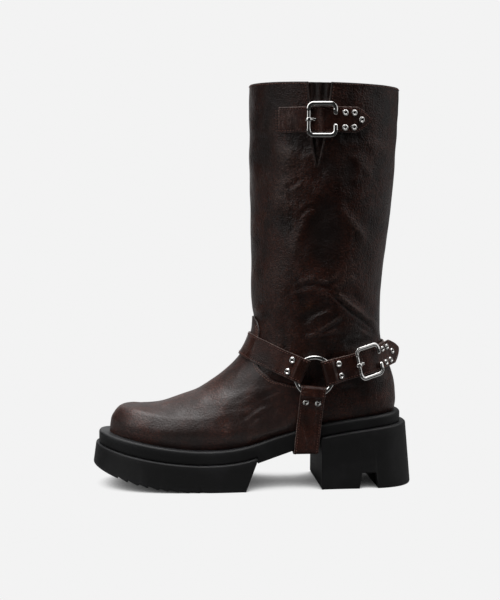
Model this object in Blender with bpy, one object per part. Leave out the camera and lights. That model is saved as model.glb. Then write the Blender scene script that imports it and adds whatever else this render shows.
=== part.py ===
"""Tall harness boot with a platform sole and a block heel.

A left boot: toe towards -X, outer side towards -Y, standing on z = 0.
Lengths are in millimetres, and MM turns them into metres at each mesh.
"""
import math

import bmesh
import bpy
import numpy as np
from mathutils import Matrix, Vector
from mathutils.bvhtree import BVHTree

MM = 0.001
UPWARDS = np.array([0.0, 0.0, 1.0])
OUTWARDS = np.array([0.0, -1.0, 0.0])
GAP = 0.3
SEAT_GAP = 0.45

# Driving sizes of the foot
WALL = 2.0
BALL_X = -45.0
HEEL_X = 85.0
TOE_SWING = 7.0
SWING_START_X = 60.0
SWING_REACH = 150.0
ARCH_X = 16.0
ARCH_REACH = 36.0
ARCH_DEPTH = 6.0
OUTER_ARCH_SHARE = 0.3

# One row for each section of the upper, from the feather edge to the collar.
# Caps are shares of the section's length; sag and swing are shares of the sole's curves.
SECTION_COLUMNS = ("front_x", "front_z", "back_x", "back_z", "front_cap", "back_cap",
                   "front_half", "back_half", "fullness", "sag", "swing")
SECTIONS = {
    "feather edge": (-125.6, 49.2, 126.9, 65.0, 0.262, 0.135, 36.5, 27.8, 2.25, 1.00, 1.0),
    "lower wall": (-124.9, 57.2, 128.0, 70.6, 0.270, 0.139, 39.8, 29.8, 2.25, 0.97, 1.0),
    "widest line": (-123.0, 63.8, 128.4, 76.0, 0.280, 0.144, 41.0, 31.0, 2.25, 0.92, 1.0),
    "toe shoulder": (-116.0, 72.6, 127.9, 83.0, 0.305, 0.153, 38.7, 31.8, 2.20, 0.80, 1.0),
    "toe top": (-103.4, 74.6, 127.3, 88.5, 0.341, 0.166, 37.2, 32.2, 2.15, 0.66, 1.0),
    "toe crown": (-84.1, 76.2, 126.1, 94.0, 0.340, 0.187, 35.4, 32.6, 2.30, 0.50, 1.0),
    "vamp": (-65.0, 81.9, 124.3, 100.5, 0.395, 0.213, 34.2, 33.2, 2.12, 0.34, 1.0),
    "vamp rise": (-45.6, 87.8, 121.9, 107.5, 0.447, 0.254, 34.0, 34.2, 2.00, 0.20, 1.0),
    "low instep": (-29.3, 97.0, 118.6, 115.0, 0.476, 0.300, 34.8, 35.5, 2.00, 0.10, 0.9),
    "instep": (-15.5, 107.6, 116.3, 123.5, 0.500, 0.360, 36.3, 37.3, 2.00, 0.04, 0.8),
    "high instep": (-5.6, 120.2, 114.6, 133.0, 0.510, 0.420, 39.0, 39.5, 2.00, 0.0, 0.6),
    "ankle": (0.0, 134.2, 113.9, 143.0, 0.510, 0.470, 41.8, 41.8, 2.00, 0.0, 0.4),
    "ankle top": (0.6, 150.0, 113.9, 155.0, 0.505, 0.490, 44.2, 44.2, 2.00, 0.0, 0.2),
    "lower shaft": (-1.6, 173.0, 115.0, 174.0, 0.500, 0.500, 46.3, 46.3, 2.00, 0.0, 0.0),
    "mid shaft": (-1.3, 215.0, 119.1, 215.0, 0.500, 0.500, 48.8, 48.8, 2.00, 0.0, 0.0),
    "calf": (-2.6, 270.0, 124.6, 264.0, 0.500, 0.500, 52.0, 52.0, 2.00, 0.0, 0.0),
    "upper calf": (-3.2, 315.0, 127.9, 314.0, 0.500, 0.500, 54.0, 54.0, 2.00, 0.0, 0.0),
    "collar": (-3.0, 352.0, 129.1, 349.0, 0.500, 0.500, 55.0, 55.0, 2.00, 0.0, 0.0),
}
FOOT_TOP = 11.3
FOOT_LEVELS = 17
TAB_LEVELS = (11.62, 11.82, 11.93)
SHAFT_LEVELS = 7
SIDE_STEPS = 20

# Heights of the sole along the boot, in columns: x, the ledge that carries the upper, the band below it
SOLE_LINE = (
    (-138.0, 49.2, 10.8),
    (-110.0, 43.7, 12.3),
    (-80.0, 38.2, 12.2),
    (-42.0, 35.0, 11.8),
    (-10.0, 37.9, 11.9),
    (20.0, 46.7, 11.5),
    (45.0, 53.3, 10.6),
    (75.0, 58.5, 10.1),
    (105.0, 62.4, 9.9),
    (136.0, 65.5, 10.2),
)

# Plan outlines of the sole, in the columns that the sections also use
OUTLINE_COLUMNS = ("front_x", "back_x", "front_cap", "back_cap", "front_half", "back_half", "fullness")
OUTLINES = {
    "band": (-136.5, 132.0, 0.280, 0.150, 45.0, 32.5, 2.35),
    "block top": (-139.3, 137.1, 0.282, 0.152, 48.0, 36.5, 2.35),
    "block bottom": (-141.5, 141.5, 0.284, 0.155, 50.5, 38.7, 2.40),
    "insole": (-121.3, 122.4, 0.262, 0.135, 32.6, 24.0, 2.25),
}
LEDGE_ROUND = 2.5
LEDGE_SHOULDER = 0.3
BLOCK_ROUND = 1.6
FLOOR_ROUND = 1.5
INSOLE_THICK = 3.0
END_STEPS = 10
MIDDLE_STEPS = 14
LEAST_STEP = 2.0
CUT_PAST = 4.0
CUT_HALF_WIDE = 80.0

# Forefoot block: its slanted back, the flat that stands on the floor, and the toe spring
BLOCK_BACK_TOP_X = 1.2
BLOCK_BACK_FLOOR_X = -9.0
SPRING_START_X = -48.0
SPRING_HEIGHT = 19.5
SPRING_POWER = 2.1
TOOTH_PITCH = 8.9
TOOTH_COUNT = 9
TOOTH_FIRST_X = -120.5
TOOTH_LAND = 1.4
TOOTH_DEEP = 1.7

# Waist and heel block
WAIST_FRONT_X = 1.6
WAIST_BACK_X = 56.6
WAIST_FRONT_Z = 23.6
WAIST_BACK_Z = 41.6
BREAST_X = 57.0
NOTCH_FRONT_FLOOR_X = 90.7
NOTCH_BACK_FLOOR_X = 107.5
NOTCH_FRONT_TOP_X = 93.0
NOTCH_BACK_TOP_X = 105.0
NOTCH_HIGH = 13.6

# Vamp overlay. Its edge has two columns: a level (v), and half of the spread round the boot (u) there
VAMP_THICK = 1.2
VAMP_GAP = 0.4
VAMP_EDGE = (
    (0.0, 0.690),
    (2.5, 0.684),
    (4.3, 0.655),
    (5.3, 0.610),
    (5.9, 0.562),
    (6.5, 0.480),
    (7.1, 0.407),
    (7.9, 0.343),
    (8.7, 0.268),
    (9.6, 0.200),
    (10.6, 0.152),
    (11.3, 0.130),
    (11.62, 0.102),
    (11.82, 0.070),
    (11.93, 0.034),
)

# Slit in the outer side of the shaft, in columns z, front x, back x, and the gusset behind it
SLIT = ((279.5, 49.8, 50.2), (304.2, 45.6, 55.6), (335.5, 43.7, 59.5), (362.0, 41.0, 62.8))
SLIT_NEAR_Y = -75.0
SLIT_FAR_Y = -34.0
GUSSET_THICK = 1.1
GUSSET_SPREAD = (-0.355, -0.535)
GUSSET_LEVELS = (14.95, 16.99)
GUSSET_STEPS = 8
GUSSET_ROWS = 6

# Harness straps: where they meet at the rings, and how each one is tilted from the side
RING_X = 50.1
RING_Z = 99.4
RING_RADIUS = 16.4
RING_WIRE = 1.6
RING_STEPS = 20
STRAP_THICK = 1.4
STRAP_LIFT = 0.45
STRAP_HALF = 10.8
SOFTEN = 25
FAR = 300.0
SEAT_FLAT = 19.0
SEAT_EASE = 31.0
STRAP_TOLERANCE = 0.24
INSTEP_TILT = 24.0
HEEL_TILT = 14.0
SOLE_TILT = 5.5
SLING_Z = 33.0
SLING_ROUND = 2.5
SLING_HALF_LONG = 26.0
CORNER_ANGLE = 40.0
CORNER_BULGE = 1.2
CORNER_REACH = 5.0
FOLD_REACH = 8.8
FOLD_BACK = 29.0
SETTLE_START = 30.0
SETTLE_REACH = 14.0
WIRE_SIDE = 0.5
FOLD_STEPS = 30
FOLD_SLACK = 0.35
RIVET_REACH = 23.0
RIVET_SPREAD = 5.3
RIVET_RADIUS = 2.7
RIVET_HIGH = 1.5

# Strap across the slit, and what both buckled straps share, counted from the buckle's middle
CALF_Z = 319.2
CALF_BUCKLE_X = 53.8
CALF_SEWN_REACH = 37.0
CALF_HALF = 10.75
ANKLE_BUCKLE_X = 96.8
INNER_STRAP_END_X = 92.0
CALF_TIP_REACH = 44.0
ANKLE_TIP_REACH = 46.6
TIP_LENGTH = 14.0
TIP_POWER = 0.6
TIP_STRAIGHT_REACH = 17.0
STUDS = ((19.2, 5.7), (19.2, -6.7), (27.0, 5.7), (27.0, -6.4), (33.8, 0.0))
STUD_RADIUS = 2.6
STUD_HIGH = 1.3
DOME_SIDES = 8
DOME_SHOULDER = 0.86
DOME_SHOULDER_HIGH = 0.55
WIRE_SIDES = 6
FRAME_HALF_LONG = 11.3
FRAME_HALF_WIDE = 13.2
FRAME_WIRE = 1.7
FRAME_CORNER = 4.2
FRAME_MOUTH = 3.6
PRONG_THICK = 1.0
PRONG_HALF = 1.4
PRONG_REACH = 6.2
PRONG_LIFT = 0.2
PRONG_BEND = 0.9

COLOURS = {
    "leather": ((0.028, 0.013, 0.011, 1.0), 0.42, 0.0),
    "rubber": ((0.012, 0.012, 0.012, 1.0), 0.72, 0.0),
    "steel": ((0.78, 0.77, 0.75, 1.0), 0.16, 1.0),
    "lining": ((0.10, 0.075, 0.06, 1.0), 0.80, 0.0),
}


def clear_scene():
    for item in list(bpy.data.objects):
        bpy.data.objects.remove(item, do_unlink=True)


def paint(name, finish):
    """Principled material of one sub-part, from the colour table."""
    colour, roughness, metallic = COLOURS[finish]
    material = bpy.data.materials.new(name)
    material.use_nodes = True
    shader = material.node_tree.nodes["Principled BSDF"]
    shader.inputs["Base Color"].default_value = colour
    shader.inputs["Roughness"].default_value = roughness
    shader.inputs["Metallic"].default_value = metallic
    material.diffuse_color = colour
    return material


def solid(name, points, faces, finish):
    """Closed mesh object from points in millimetres, welded and with its faces outwards."""
    mesh = bpy.data.meshes.new(name)
    mesh.from_pydata((np.asarray(points) * MM).tolist(), [], [list(map(int, face)) for face in faces])
    work = bmesh.new()
    work.from_mesh(mesh)
    bmesh.ops.remove_doubles(work, verts=work.verts, dist=1e-6)
    bmesh.ops.recalc_face_normals(work, faces=work.faces)
    work.to_mesh(mesh)
    work.free()
    mesh.shade_smooth()
    mesh.set_sharp_from_angle(angle=math.radians(35))
    item = bpy.data.objects.new(name, mesh)
    bpy.context.collection.objects.link(item)
    if finish:
        mesh.materials.append(paint(name, finish))
    return item


def smooth(share):
    """Smooth step from 0 to 1."""
    share = np.clip(share, 0.0, 1.0)
    return share * share * (3.0 - 2.0 * share)


def curve_through(knots, values, x):
    """Cubic Hermite curve through a table's rows, level beyond its ends."""
    knots = np.asarray(knots, float)
    values = np.asarray(values, float)
    slopes = np.gradient(values, knots)
    x = np.clip(x, knots[0], knots[-1])
    k = np.clip(np.searchsorted(knots, x, side="right") - 1, 0, len(knots) - 2)
    step = knots[k + 1] - knots[k]
    t = (x - knots[k]) / step
    start = (2 * t**3 - 3 * t**2 + 1) * values[k] + (t**3 - 2 * t**2 + t) * step * slopes[k]
    end = (3 * t**2 - 2 * t**3) * values[k + 1] + (t**3 - t**2) * step * slopes[k + 1]
    return start + end


SOLE_X, LEDGE_Z, BAND_HIGH = (np.array(column) for column in zip(*SOLE_LINE))


def ledge_z(x):
    return curve_through(SOLE_X, LEDGE_Z, x)


def step_z(x):
    """Lower edge of the band, where the blocks stand out."""
    return ledge_z(x) - curve_through(SOLE_X, BAND_HIGH, x)


def swing_y(x):
    """Centre line of the foot, which turns inwards towards the toe."""
    return TOE_SWING * smooth((SWING_START_X - x) / SWING_REACH)


def side_y(x, side, row):
    """Edge of a plan outline at x: side -1 is the outer one, +1 the inner one."""
    chord = row["back_x"] - row["front_x"]
    to_ball = smooth((HEEL_X - x) / (HEEL_X - BALL_X))
    half = row["back_half"] + (row["front_half"] - row["back_half"]) * to_ball
    arch = ARCH_DEPTH * row["sag"] * np.exp(-(((x - ARCH_X) / ARCH_REACH) ** 2))
    half = half - arch * np.where(side > 0, 1.0, OUTER_ARCH_SHARE)
    power = row["fullness"]
    to_front = np.clip(1.0 - (x - row["front_x"]) / (row["front_cap"] * chord + 1e-9), 0.0, 1.0)
    to_back = np.clip(1.0 - (row["back_x"] - x) / (row["back_cap"] * chord + 1e-9), 0.0, 1.0)
    ends = (1.0 - to_front**power) ** (1.0 / power) * (1.0 - to_back**power) ** (1.0 / power)
    return swing_y(x) * row["swing"] + side * half * ends


def section(v):
    """Columns of the section table at level v, counted in rows from the feather edge."""
    rows = np.array(list(SECTIONS.values()))
    levels = np.arange(len(rows))
    return {name: curve_through(levels, rows[:, k], v) for k, name in enumerate(SECTION_COLUMNS)}


def upper_point(u, v):
    """Outer surface of the upper. u runs -1..1 round from the heel along the outer side, over the
    front at 0 and back along the inner side; v runs up through the sections."""
    row = section(v)
    chord = row["back_x"] - row["front_x"]
    front = row["front_cap"]
    back = np.minimum(row["back_cap"], 1.0 - front)
    row["back_cap"] = back
    away = np.abs(u)
    front_turn = np.clip(away / front, 0.0, 1.0) * math.pi / 2
    back_turn = np.clip((1.0 - away) / back, 0.0, 1.0) * math.pi / 2
    x_front = row["front_x"] + front * chord * (1.0 - np.cos(front_turn))
    x_back = row["back_x"] - back * chord * (1.0 - np.cos(back_turn))
    x_middle = row["front_x"] + away * chord
    x = np.where(away < front, x_front, np.where(away > 1.0 - back, x_back, x_middle))
    y = side_y(x, np.sign(u), row)
    base = SECTIONS["feather edge"]
    base_line = base[1] + (base[3] - base[1]) * (x - base[0]) / (base[2] - base[0])
    chord_line = row["front_z"] + (row["back_z"] - row["front_z"]) * (x - row["front_x"]) / chord
    z = chord_line + row["sag"] * (ledge_z(x) - base_line)
    return np.stack(np.broadcast_arrays(x, y, z), axis=-1)


def grid_normals(points, closed):
    """Unit normals of a grid of points, rows up and columns round, pointing out of the boot."""
    if closed:
        across = np.roll(points, -1, axis=1) - np.roll(points, 1, axis=1)
    else:
        across = np.gradient(points, axis=1)
    up = np.gradient(points, axis=0)
    normals = np.cross(across, up)
    return normals / np.linalg.norm(normals, axis=-1, keepdims=True)


def surface_normals(u, v):
    """Outward unit normals of the upper's surface, from small steps in u and v."""
    small = 0.004
    across = upper_point(u - small, v) - upper_point(u + small, v)
    up = upper_point(u, v + small) - upper_point(u, v - small)
    normals = np.cross(across, up)
    return normals / np.linalg.norm(normals, axis=-1, keepdims=True)


def shell_faces(rows, columns, closed):
    """Faces of a wall between an outer and an inner grid, with its rims."""
    count = rows * columns
    faces = []
    last = columns if closed else columns - 1
    for r in range(rows - 1):
        for c in range(last):
            n = (c + 1) % columns
            low, high = r * columns, (r + 1) * columns
            for triangle in ((low + c, low + n, high + n), (low + c, high + n, high + c)):
                faces.append(triangle)
                faces.append(tuple(count + k for k in reversed(triangle)))
    for c in range(last):
        n = (c + 1) % columns
        top = (rows - 1) * columns
        faces.append((n, c, count + c, count + n))
        faces.append((top + c, top + n, count + top + n, count + top + c))
    if not closed:
        for r in range(rows - 1):
            low, high = r * columns, (r + 1) * columns
            faces.append((low, high, count + high, count + low))
            low, high = low + columns - 1, high + columns - 1
            faces.append((high, low, count + low, count + high))
    return faces


def upper_levels():
    """Levels of the upper's grid, with those where the vamp's tab is rounded off."""
    shaft = np.linspace(TAB_LEVELS[-1], len(SECTIONS) - 1, SHAFT_LEVELS + 1)
    return np.concatenate([np.linspace(0.0, FOOT_TOP, FOOT_LEVELS), TAB_LEVELS, shaft[1:]])


def build_upper():
    u = np.linspace(0.0, 2.0, 2 * SIDE_STEPS, endpoint=False)
    u = np.where(u > 1.0, u - 2.0, u)
    v = upper_levels()
    outer = upper_point(-u[None, :], v[:, None])
    outer[0, :, 2] += SEAT_GAP
    inner = outer - WALL * grid_normals(outer, True)
    inner[0, :, 2] = outer[0, :, 2]
    inner[-1, :, 2] = outer[-1, :, 2]
    points = np.concatenate([outer.reshape(-1, 3), inner.reshape(-1, 3)])
    return solid("upper", points, shell_faces(len(v), len(u), True), "leather")


def outline_row(name, sag=1.0):
    row = dict(zip(OUTLINE_COLUMNS, OUTLINES[name]))
    row.update(sag=sag, swing=1.0)
    return row


def stations(row, start=None, end=None, extra=()):
    """Places along the boot where an outline is sampled, closer together at its round ends."""
    chord = row["back_x"] - row["front_x"]
    turn = np.linspace(0.0, math.pi / 2, END_STEPS)
    front = row["front_x"] + row["front_cap"] * chord * (1.0 - np.cos(turn))
    back = row["back_x"] - row["back_cap"] * chord * (1.0 - np.cos(turn))
    middle = np.linspace(front[-1], back[-1], MIDDLE_STEPS)[1:-1]
    places = np.concatenate([front, middle, back])
    low = row["front_x"] if start is None else start
    high = row["back_x"] if end is None else end
    places = places[(places > low + LEAST_STEP) & (places < high - LEAST_STEP)]
    return np.unique(np.concatenate([[low], places, [high], np.asarray(extra, float)]))


def plan_loop(x, row, z, inset=0.0):
    """Closed loop of a plan outline at the stations x, outer side first, drawn in by inset."""
    outer = np.stack([x, side_y(x, -1.0, row), z], axis=1)
    inner = np.stack([x, side_y(x, 1.0, row), z], axis=1)[::-1]
    loop = np.concatenate([outer, inner])
    if inset:
        ahead = np.roll(loop, -1, axis=0) - np.roll(loop, 1, axis=0)
        inwards = np.stack([-ahead[:, 1], ahead[:, 0]], axis=1)
        for one, other in ((0, -1), (len(x) - 1, len(x))):
            if np.allclose(loop[one], loop[other]):
                inwards[one] = inwards[other] = inwards[one] + inwards[other]
        loop[:, :2] += inset * inwards / np.linalg.norm(inwards, axis=1, keepdims=True)
    return loop


def stacked(name, loops, finish):
    """Solid through loops of equal length, from the lowest one up, closed across both ends."""
    size = len(loops[0])
    half = size // 2
    faces = []
    for level in range(len(loops) - 1):
        for k in range(size):
            n = (k + 1) % size
            low, high = level * size, (level + 1) * size
            faces.append((low + k, low + n, high + n, high + k))
    top = (len(loops) - 1) * size
    for k in range(half - 1):
        quad = (k, k + 1, size - 2 - k, size - 1 - k)
        faces.append(tuple(reversed(quad)))
        faces.append(tuple(top + index for index in quad))
    return solid(name, np.concatenate(loops), faces, finish)


def build_midsole():
    row = outline_row("band")
    edges = (BLOCK_BACK_TOP_X, WAIST_FRONT_X, WAIST_BACK_X, BREAST_X)
    x = stations(row, extra=edges)
    waist = np.interp(x, (WAIST_FRONT_X, WAIST_BACK_X), (WAIST_FRONT_Z, WAIST_BACK_Z))
    under = np.where((x > BLOCK_BACK_TOP_X) & (x < BREAST_X), waist, step_z(x))
    both = np.concatenate([x, x[::-1]])
    low = plan_loop(x, row, under)
    side = plan_loop(x, row, ledge_z(x) - LEDGE_ROUND)
    shoulder = plan_loop(x, row, ledge_z(x) - LEDGE_SHOULDER * LEDGE_ROUND, LEDGE_SHOULDER * LEDGE_ROUND)
    top = plan_loop(x, row, ledge_z(x), LEDGE_ROUND)
    for loop in (shoulder, top):
        loop[:, 2] += ledge_z(loop[:, 0]) - ledge_z(both)
    return stacked("midsole", [low, side, shoulder, top], "rubber")


def spring_z(x):
    """Underside of the forefoot block: flat on the floor, then rising to the toe."""
    reach = SPRING_START_X - OUTLINES["block bottom"][0]
    return SPRING_HEIGHT * np.clip((SPRING_START_X - x) / reach, 0.0, 1.0) ** SPRING_POWER


def box_cutter(name, sections, half_width):
    """Prism across the boot from an (x, z) outline, used to cut."""
    count = len(sections)
    points = [(x, side * half_width, z) for side in (-1.0, 1.0) for x, z in sections]
    faces = [tuple(range(count)), tuple(reversed(range(count, 2 * count)))]
    faces += [(k, (k + 1) % count, count + (k + 1) % count, count + k) for k in range(count)]
    cutter = solid(name, points, faces, None)
    cutter.hide_render = True
    cutter.display_type = "WIRE"
    return cutter


def cut(target, cutter):
    modifier = target.modifiers.new("cut " + cutter.name, "BOOLEAN")
    modifier.operation = "DIFFERENCE"
    modifier.solver = "EXACT"
    modifier.object = cutter


def build_outsole():
    top_row = outline_row("block top")
    floor_row = outline_row("block bottom")
    x_top = stations(top_row, end=BLOCK_BACK_TOP_X)
    share = (x_top - x_top[0]) / (x_top[-1] - x_top[0])
    x_floor = floor_row["front_x"] + share * (BLOCK_BACK_FLOOR_X - floor_row["front_x"])
    both = np.concatenate([x_floor, x_floor[::-1]])
    under = plan_loop(x_floor, floor_row, spring_z(x_floor), FLOOR_ROUND)
    under[:, 2] += spring_z(under[:, 0]) - spring_z(both)
    low = plan_loop(x_floor, floor_row, spring_z(x_floor) + FLOOR_ROUND)
    side = plan_loop(x_top, top_row, step_z(x_top) - GAP - BLOCK_ROUND)
    top = plan_loop(x_top, top_row, step_z(x_top) - GAP, BLOCK_ROUND)
    top[:, 2] = step_z(top[:, 0]) - GAP
    outsole = stacked("outsole", [under, low, side, top], "rubber")
    for k in range(TOOTH_COUNT):
        front = TOOTH_FIRST_X + k * TOOTH_PITCH
        back = front + TOOTH_PITCH - TOOTH_LAND
        front_z, back_z = spring_z(np.array([front, back]))
        groove = [(front, front_z - CUT_PAST), (back, back_z - CUT_PAST),
                  (back, back_z), (front, front_z + TOOTH_DEEP)]
        cut(outsole, box_cutter("tread cutter %d" % (k + 1), groove, CUT_HALF_WIDE))
    return outsole


def build_heel():
    top_row = outline_row("block top")
    floor_row = outline_row("block bottom")
    x_top = stations(top_row, start=BREAST_X)
    share = (x_top - BREAST_X) / (x_top[-1] - BREAST_X)
    x_floor = BREAST_X + share * (floor_row["back_x"] - BREAST_X)
    under = plan_loop(x_floor, floor_row, np.zeros_like(x_floor), FLOOR_ROUND)
    low = plan_loop(x_floor, floor_row, np.full_like(x_floor, FLOOR_ROUND))
    side = plan_loop(x_top, top_row, step_z(x_top) - GAP - BLOCK_ROUND)
    top = plan_loop(x_top, top_row, step_z(x_top) - GAP, BLOCK_ROUND)
    top[:, 2] = step_z(top[:, 0]) - GAP
    heel = stacked("heel", [under, low, side, top], "rubber")
    notch = [(NOTCH_FRONT_FLOOR_X, -CUT_PAST), (NOTCH_BACK_FLOOR_X, -CUT_PAST),
             (NOTCH_BACK_TOP_X, NOTCH_HIGH), (NOTCH_FRONT_TOP_X, NOTCH_HIGH)]
    cut(heel, box_cutter("heel notch cutter", notch, CUT_HALF_WIDE))
    return heel


def build_insole():
    row = outline_row("insole")
    x = stations(row)
    low = plan_loop(x, row, ledge_z(x) + SEAT_GAP)
    high = plan_loop(x, row, ledge_z(x) + SEAT_GAP + INSOLE_THICK)
    return stacked("insole", [low, high], "lining")


def build_vamp():
    """The upper's own grid between two offsets, drawn in to the vamp's edge."""
    level, spread = (np.array(column) for column in zip(*VAMP_EDGE))
    v = upper_levels()
    v = v[v <= level[-1]]
    reach = curve_through(level, spread, v)[:, None]
    u = np.linspace(1.0, -1.0, 2 * SIDE_STEPS + 1)[None, :]
    base = upper_point(np.clip(u, -reach, reach), v[:, None])
    base[0, :, 2] += SEAT_GAP
    normals = surface_normals(np.clip(u, -reach, reach), v[:, None])
    normals[0, :, 2] = 0.0
    outer = base + (VAMP_GAP + VAMP_THICK) * normals
    inner = base + VAMP_GAP * normals
    points = np.concatenate([outer.reshape(-1, 3), inner.reshape(-1, 3)])
    return solid("vamp", points, shell_faces(len(v), u.size, False), "leather")


def build_gusset():
    """Patch just inside the upper's wall, behind the slit."""
    u = np.linspace(*GUSSET_SPREAD, GUSSET_STEPS)
    v = np.linspace(*GUSSET_LEVELS, GUSSET_ROWS)
    base = upper_point(u[None, :], v[:, None])
    normals = grid_normals(base, False)
    outer = base - (WALL + GAP) * normals
    inner = base - (WALL + GAP + GUSSET_THICK) * normals
    points = np.concatenate([outer.reshape(-1, 3), inner.reshape(-1, 3)])
    return solid("gusset", points, shell_faces(len(v), len(u), False), "leather")


def build_slit_cutter():
    """Wedge through the outer wall of the shaft, open at the collar."""
    outline = [(front, z) for z, front, back in SLIT] + [(back, z) for z, front, back in reversed(SLIT)]
    cutter = box_cutter("slit cutter", outline, 1.0)
    for vertex in cutter.data.vertices:
        vertex.co.y = (SLIT_NEAR_Y if vertex.co.y < 0 else SLIT_FAR_Y) * MM
    return cutter


def surface_tree(item):
    """Search tree over an object's faces, in millimetres."""
    points = [vertex.co / MM for vertex in item.data.vertices]
    return BVHTree.FromPolygons(points, [list(face.vertices) for face in item.data.polygons])


def sling_tree():
    """Search tree over a level trough under the waist, as wide as the midsole, where the sole strap hangs."""
    row = outline_row("band")
    outer, inner = (float(side_y(RING_X, side, row)) for side in (-1.0, 1.0))
    low, high = SLING_Z, SLING_Z + SLING_ROUND
    profile = [(outer, high), (outer + SLING_ROUND, low), (inner - SLING_ROUND, low), (inner, high)]
    points = [(RING_X + way * SLING_HALF_LONG, y, z) for way in (-1.0, 1.0) for y, z in profile]
    count = len(profile)
    faces = [(k, k + 1, count + k + 1, count + k) for k in range(count - 1)]
    return BVHTree.FromPolygons(points, faces)


class Course:
    """A strap's way round the boot: three parallel sections of the boot, pulled taut.

    s is the distance along the way from its start, q runs -1..1 across the strap's width,
    and h is the height above the boot."""

    def __init__(self, trees, centre, heading, half, turns):
        self.half = half
        self.out = OUTWARDS
        self.heading = np.asarray(heading, float)
        self.across = np.cross(self.heading, self.out)
        if self.across[2] + 0.5 * self.across[0] < 0:
            self.across = -self.across
        self.turn = np.radians(np.arange(turns[0], turns[1] + 0.1, 0.3))
        self.seats = []
        middles = [np.asarray(centre, float) + q * half * self.across for q in np.linspace(-1.0, 1.0, 9)]
        reach = np.array([self.reach_row(trees, middle) for middle in middles])
        share = np.linspace(0.0, 1.0, 5)[:, None]
        low = np.max(reach[:5] - (reach[0] + share * (reach[4] - reach[0])), axis=0)
        high = np.max(reach[4:] - (reach[4] + share * (reach[8] - reach[4])), axis=0)
        self.rows = [self.taut_row(middles[0], reach[0] + low),
                     self.taut_row(middles[4], reach[4] + np.maximum(low, high)),
                     self.taut_row(middles[8], reach[8] + high)]
        flat = self.rows[1][0]
        length = np.concatenate([[0.0], np.cumsum(np.linalg.norm(np.diff(flat, axis=0), axis=1))])
        self.length = length - np.interp(0.0, self.turn, length)

    def reach_row(self, trees, middle):
        """Distances from a middle point to the boot's outermost surface, at each turn."""
        reach = []
        for turn in self.turn:
            way = math.cos(turn) * self.out + math.sin(turn) * self.heading
            far = Vector(middle + FAR * way)
            hits = [tree.ray_cast(far, Vector(-way)) for tree in trees]
            reach.append(FAR - min(hit[3] for hit in hits if hit[0] is not None))
        return np.array(reach)

    def taut_row(self, middle, reach):
        """Outermost points of one section, bridged by its convex hull, and their normals."""
        ray = np.stack([np.cos(self.turn), np.sin(self.turn)], axis=1)
        hull = []
        for point in reach[:, None] * ray:
            while len(hull) > 1 and turn_left(hull[-2], hull[-1], point) <= 0.0:
                hull.pop()
            hull.append(point)
        hull = np.array(hull)
        angle = np.unwrap(np.arctan2(hull[:, 1], hull[:, 0]))
        edge = np.clip(np.searchsorted(angle, self.turn, side="right") - 1, 0, len(hull) - 2)
        along = hull[edge + 1] - hull[edge]
        points = (flat_cross(hull[edge], along) / flat_cross(ray, along))[:, None] * ray
        ahead = np.gradient(points, axis=0)
        ahead /= np.linalg.norm(ahead, axis=1, keepdims=True)
        spread = np.ones(SOFTEN) / SOFTEN
        padded = np.pad(ahead, ((SOFTEN // 2, SOFTEN // 2), (0, 0)), mode="edge")
        ahead = np.stack([np.convolve(padded[:, k], spread, "valid") for k in (0, 1)], axis=1)
        normals = np.stack([ahead[:, 1], -ahead[:, 0]], axis=1)
        normals /= np.linalg.norm(normals, axis=1, keepdims=True)
        world = middle + points[:, :1] * self.out + points[:, 1:] * self.heading
        return world, normals[:, :1] * self.out + normals[:, 1:] * self.heading

    def seat(self, origin, sign, centre, normal):
        """Lay the way flat on a ring's plane near one end, easing back to the boot further on."""
        along = self.point(origin + sign * SEAT_EASE, 0.0, 0.0) - centre
        along -= np.dot(along, normal) * normal
        along /= np.linalg.norm(along)
        across = np.cross(normal, along)
        across *= np.sign(np.dot(across, self.across))
        self.seats.append((origin, sign, centre, along, across, normal))

    def point(self, s, q, h):
        """Points at s, q, h; before and past the sampled way the strap runs straight on."""
        s, q, h = np.broadcast_arrays(np.asarray(s, float), q, h)
        places = []
        for world, normals in self.rows:
            on = np.stack([np.interp(s, self.length, world[:, k]) for k in range(3)], axis=-1)
            up = np.stack([np.interp(s, self.length, normals[:, k]) for k in range(3)], axis=-1)
            places.append(on + h[..., None] * up / np.linalg.norm(up, axis=-1, keepdims=True))
        low, mid, high = places
        share = q[..., None]
        place = mid + np.where(share > 0.0, share * (high - mid), share * (mid - low))
        for origin, sign, centre, along, across, normal in self.seats:
            away = (sign * (s - origin))[..., None]
            flat = centre + away * along + self.half * share * across + h[..., None] * normal
            place = flat + (place - flat) * smooth((away - SEAT_FLAT) / (SEAT_EASE - SEAT_FLAT))
        return place

    def frame(self, s, q, h):
        """Point, direction along, direction across and outward normal at one place."""
        here = self.point(s, q, h)
        along = self.point(s + 1.0, q, h) - self.point(s - 1.0, q, h)
        across = self.point(s, q + 0.1, h) - self.point(s, q - 0.1, h)
        along /= np.linalg.norm(along)
        normal = np.cross(along, across)
        normal /= np.linalg.norm(normal)
        if np.dot(normal, self.point(s, q, h + 1.0) - here) < 0:
            normal = -normal
        across = np.cross(normal, along)
        return here, along, across, normal

    def corners(self):
        """Distances along the middle row where it turns sharply, as at the edge of the sole."""
        normals = self.rows[1][1]
        turn = np.sum(normals[SOFTEN:] * normals[:-SOFTEN], axis=1)
        sharp = np.flatnonzero(turn < math.cos(math.radians(CORNER_ANGLE))) + SOFTEN // 2
        groups = np.split(sharp, np.flatnonzero(np.diff(sharp) > SOFTEN) + 1)
        return [self.length[int(np.mean(group))] for group in groups if len(group)]

    def s_at_x(self, x, start, end):
        """Distance along the way where it reaches x, between two distances."""
        s = np.linspace(start, end, 400)
        return s[np.argmin(np.abs(self.point(s, 0.0, 0.0)[:, 0] - x))]


def turn_left(a, b, c):
    return (b[0] - a[0]) * (c[1] - b[1]) - (b[1] - a[1]) * (c[0] - b[0])


def flat_cross(a, b):
    return a[:, 0] * b[:, 1] - a[:, 1] * b[:, 0]


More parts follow.
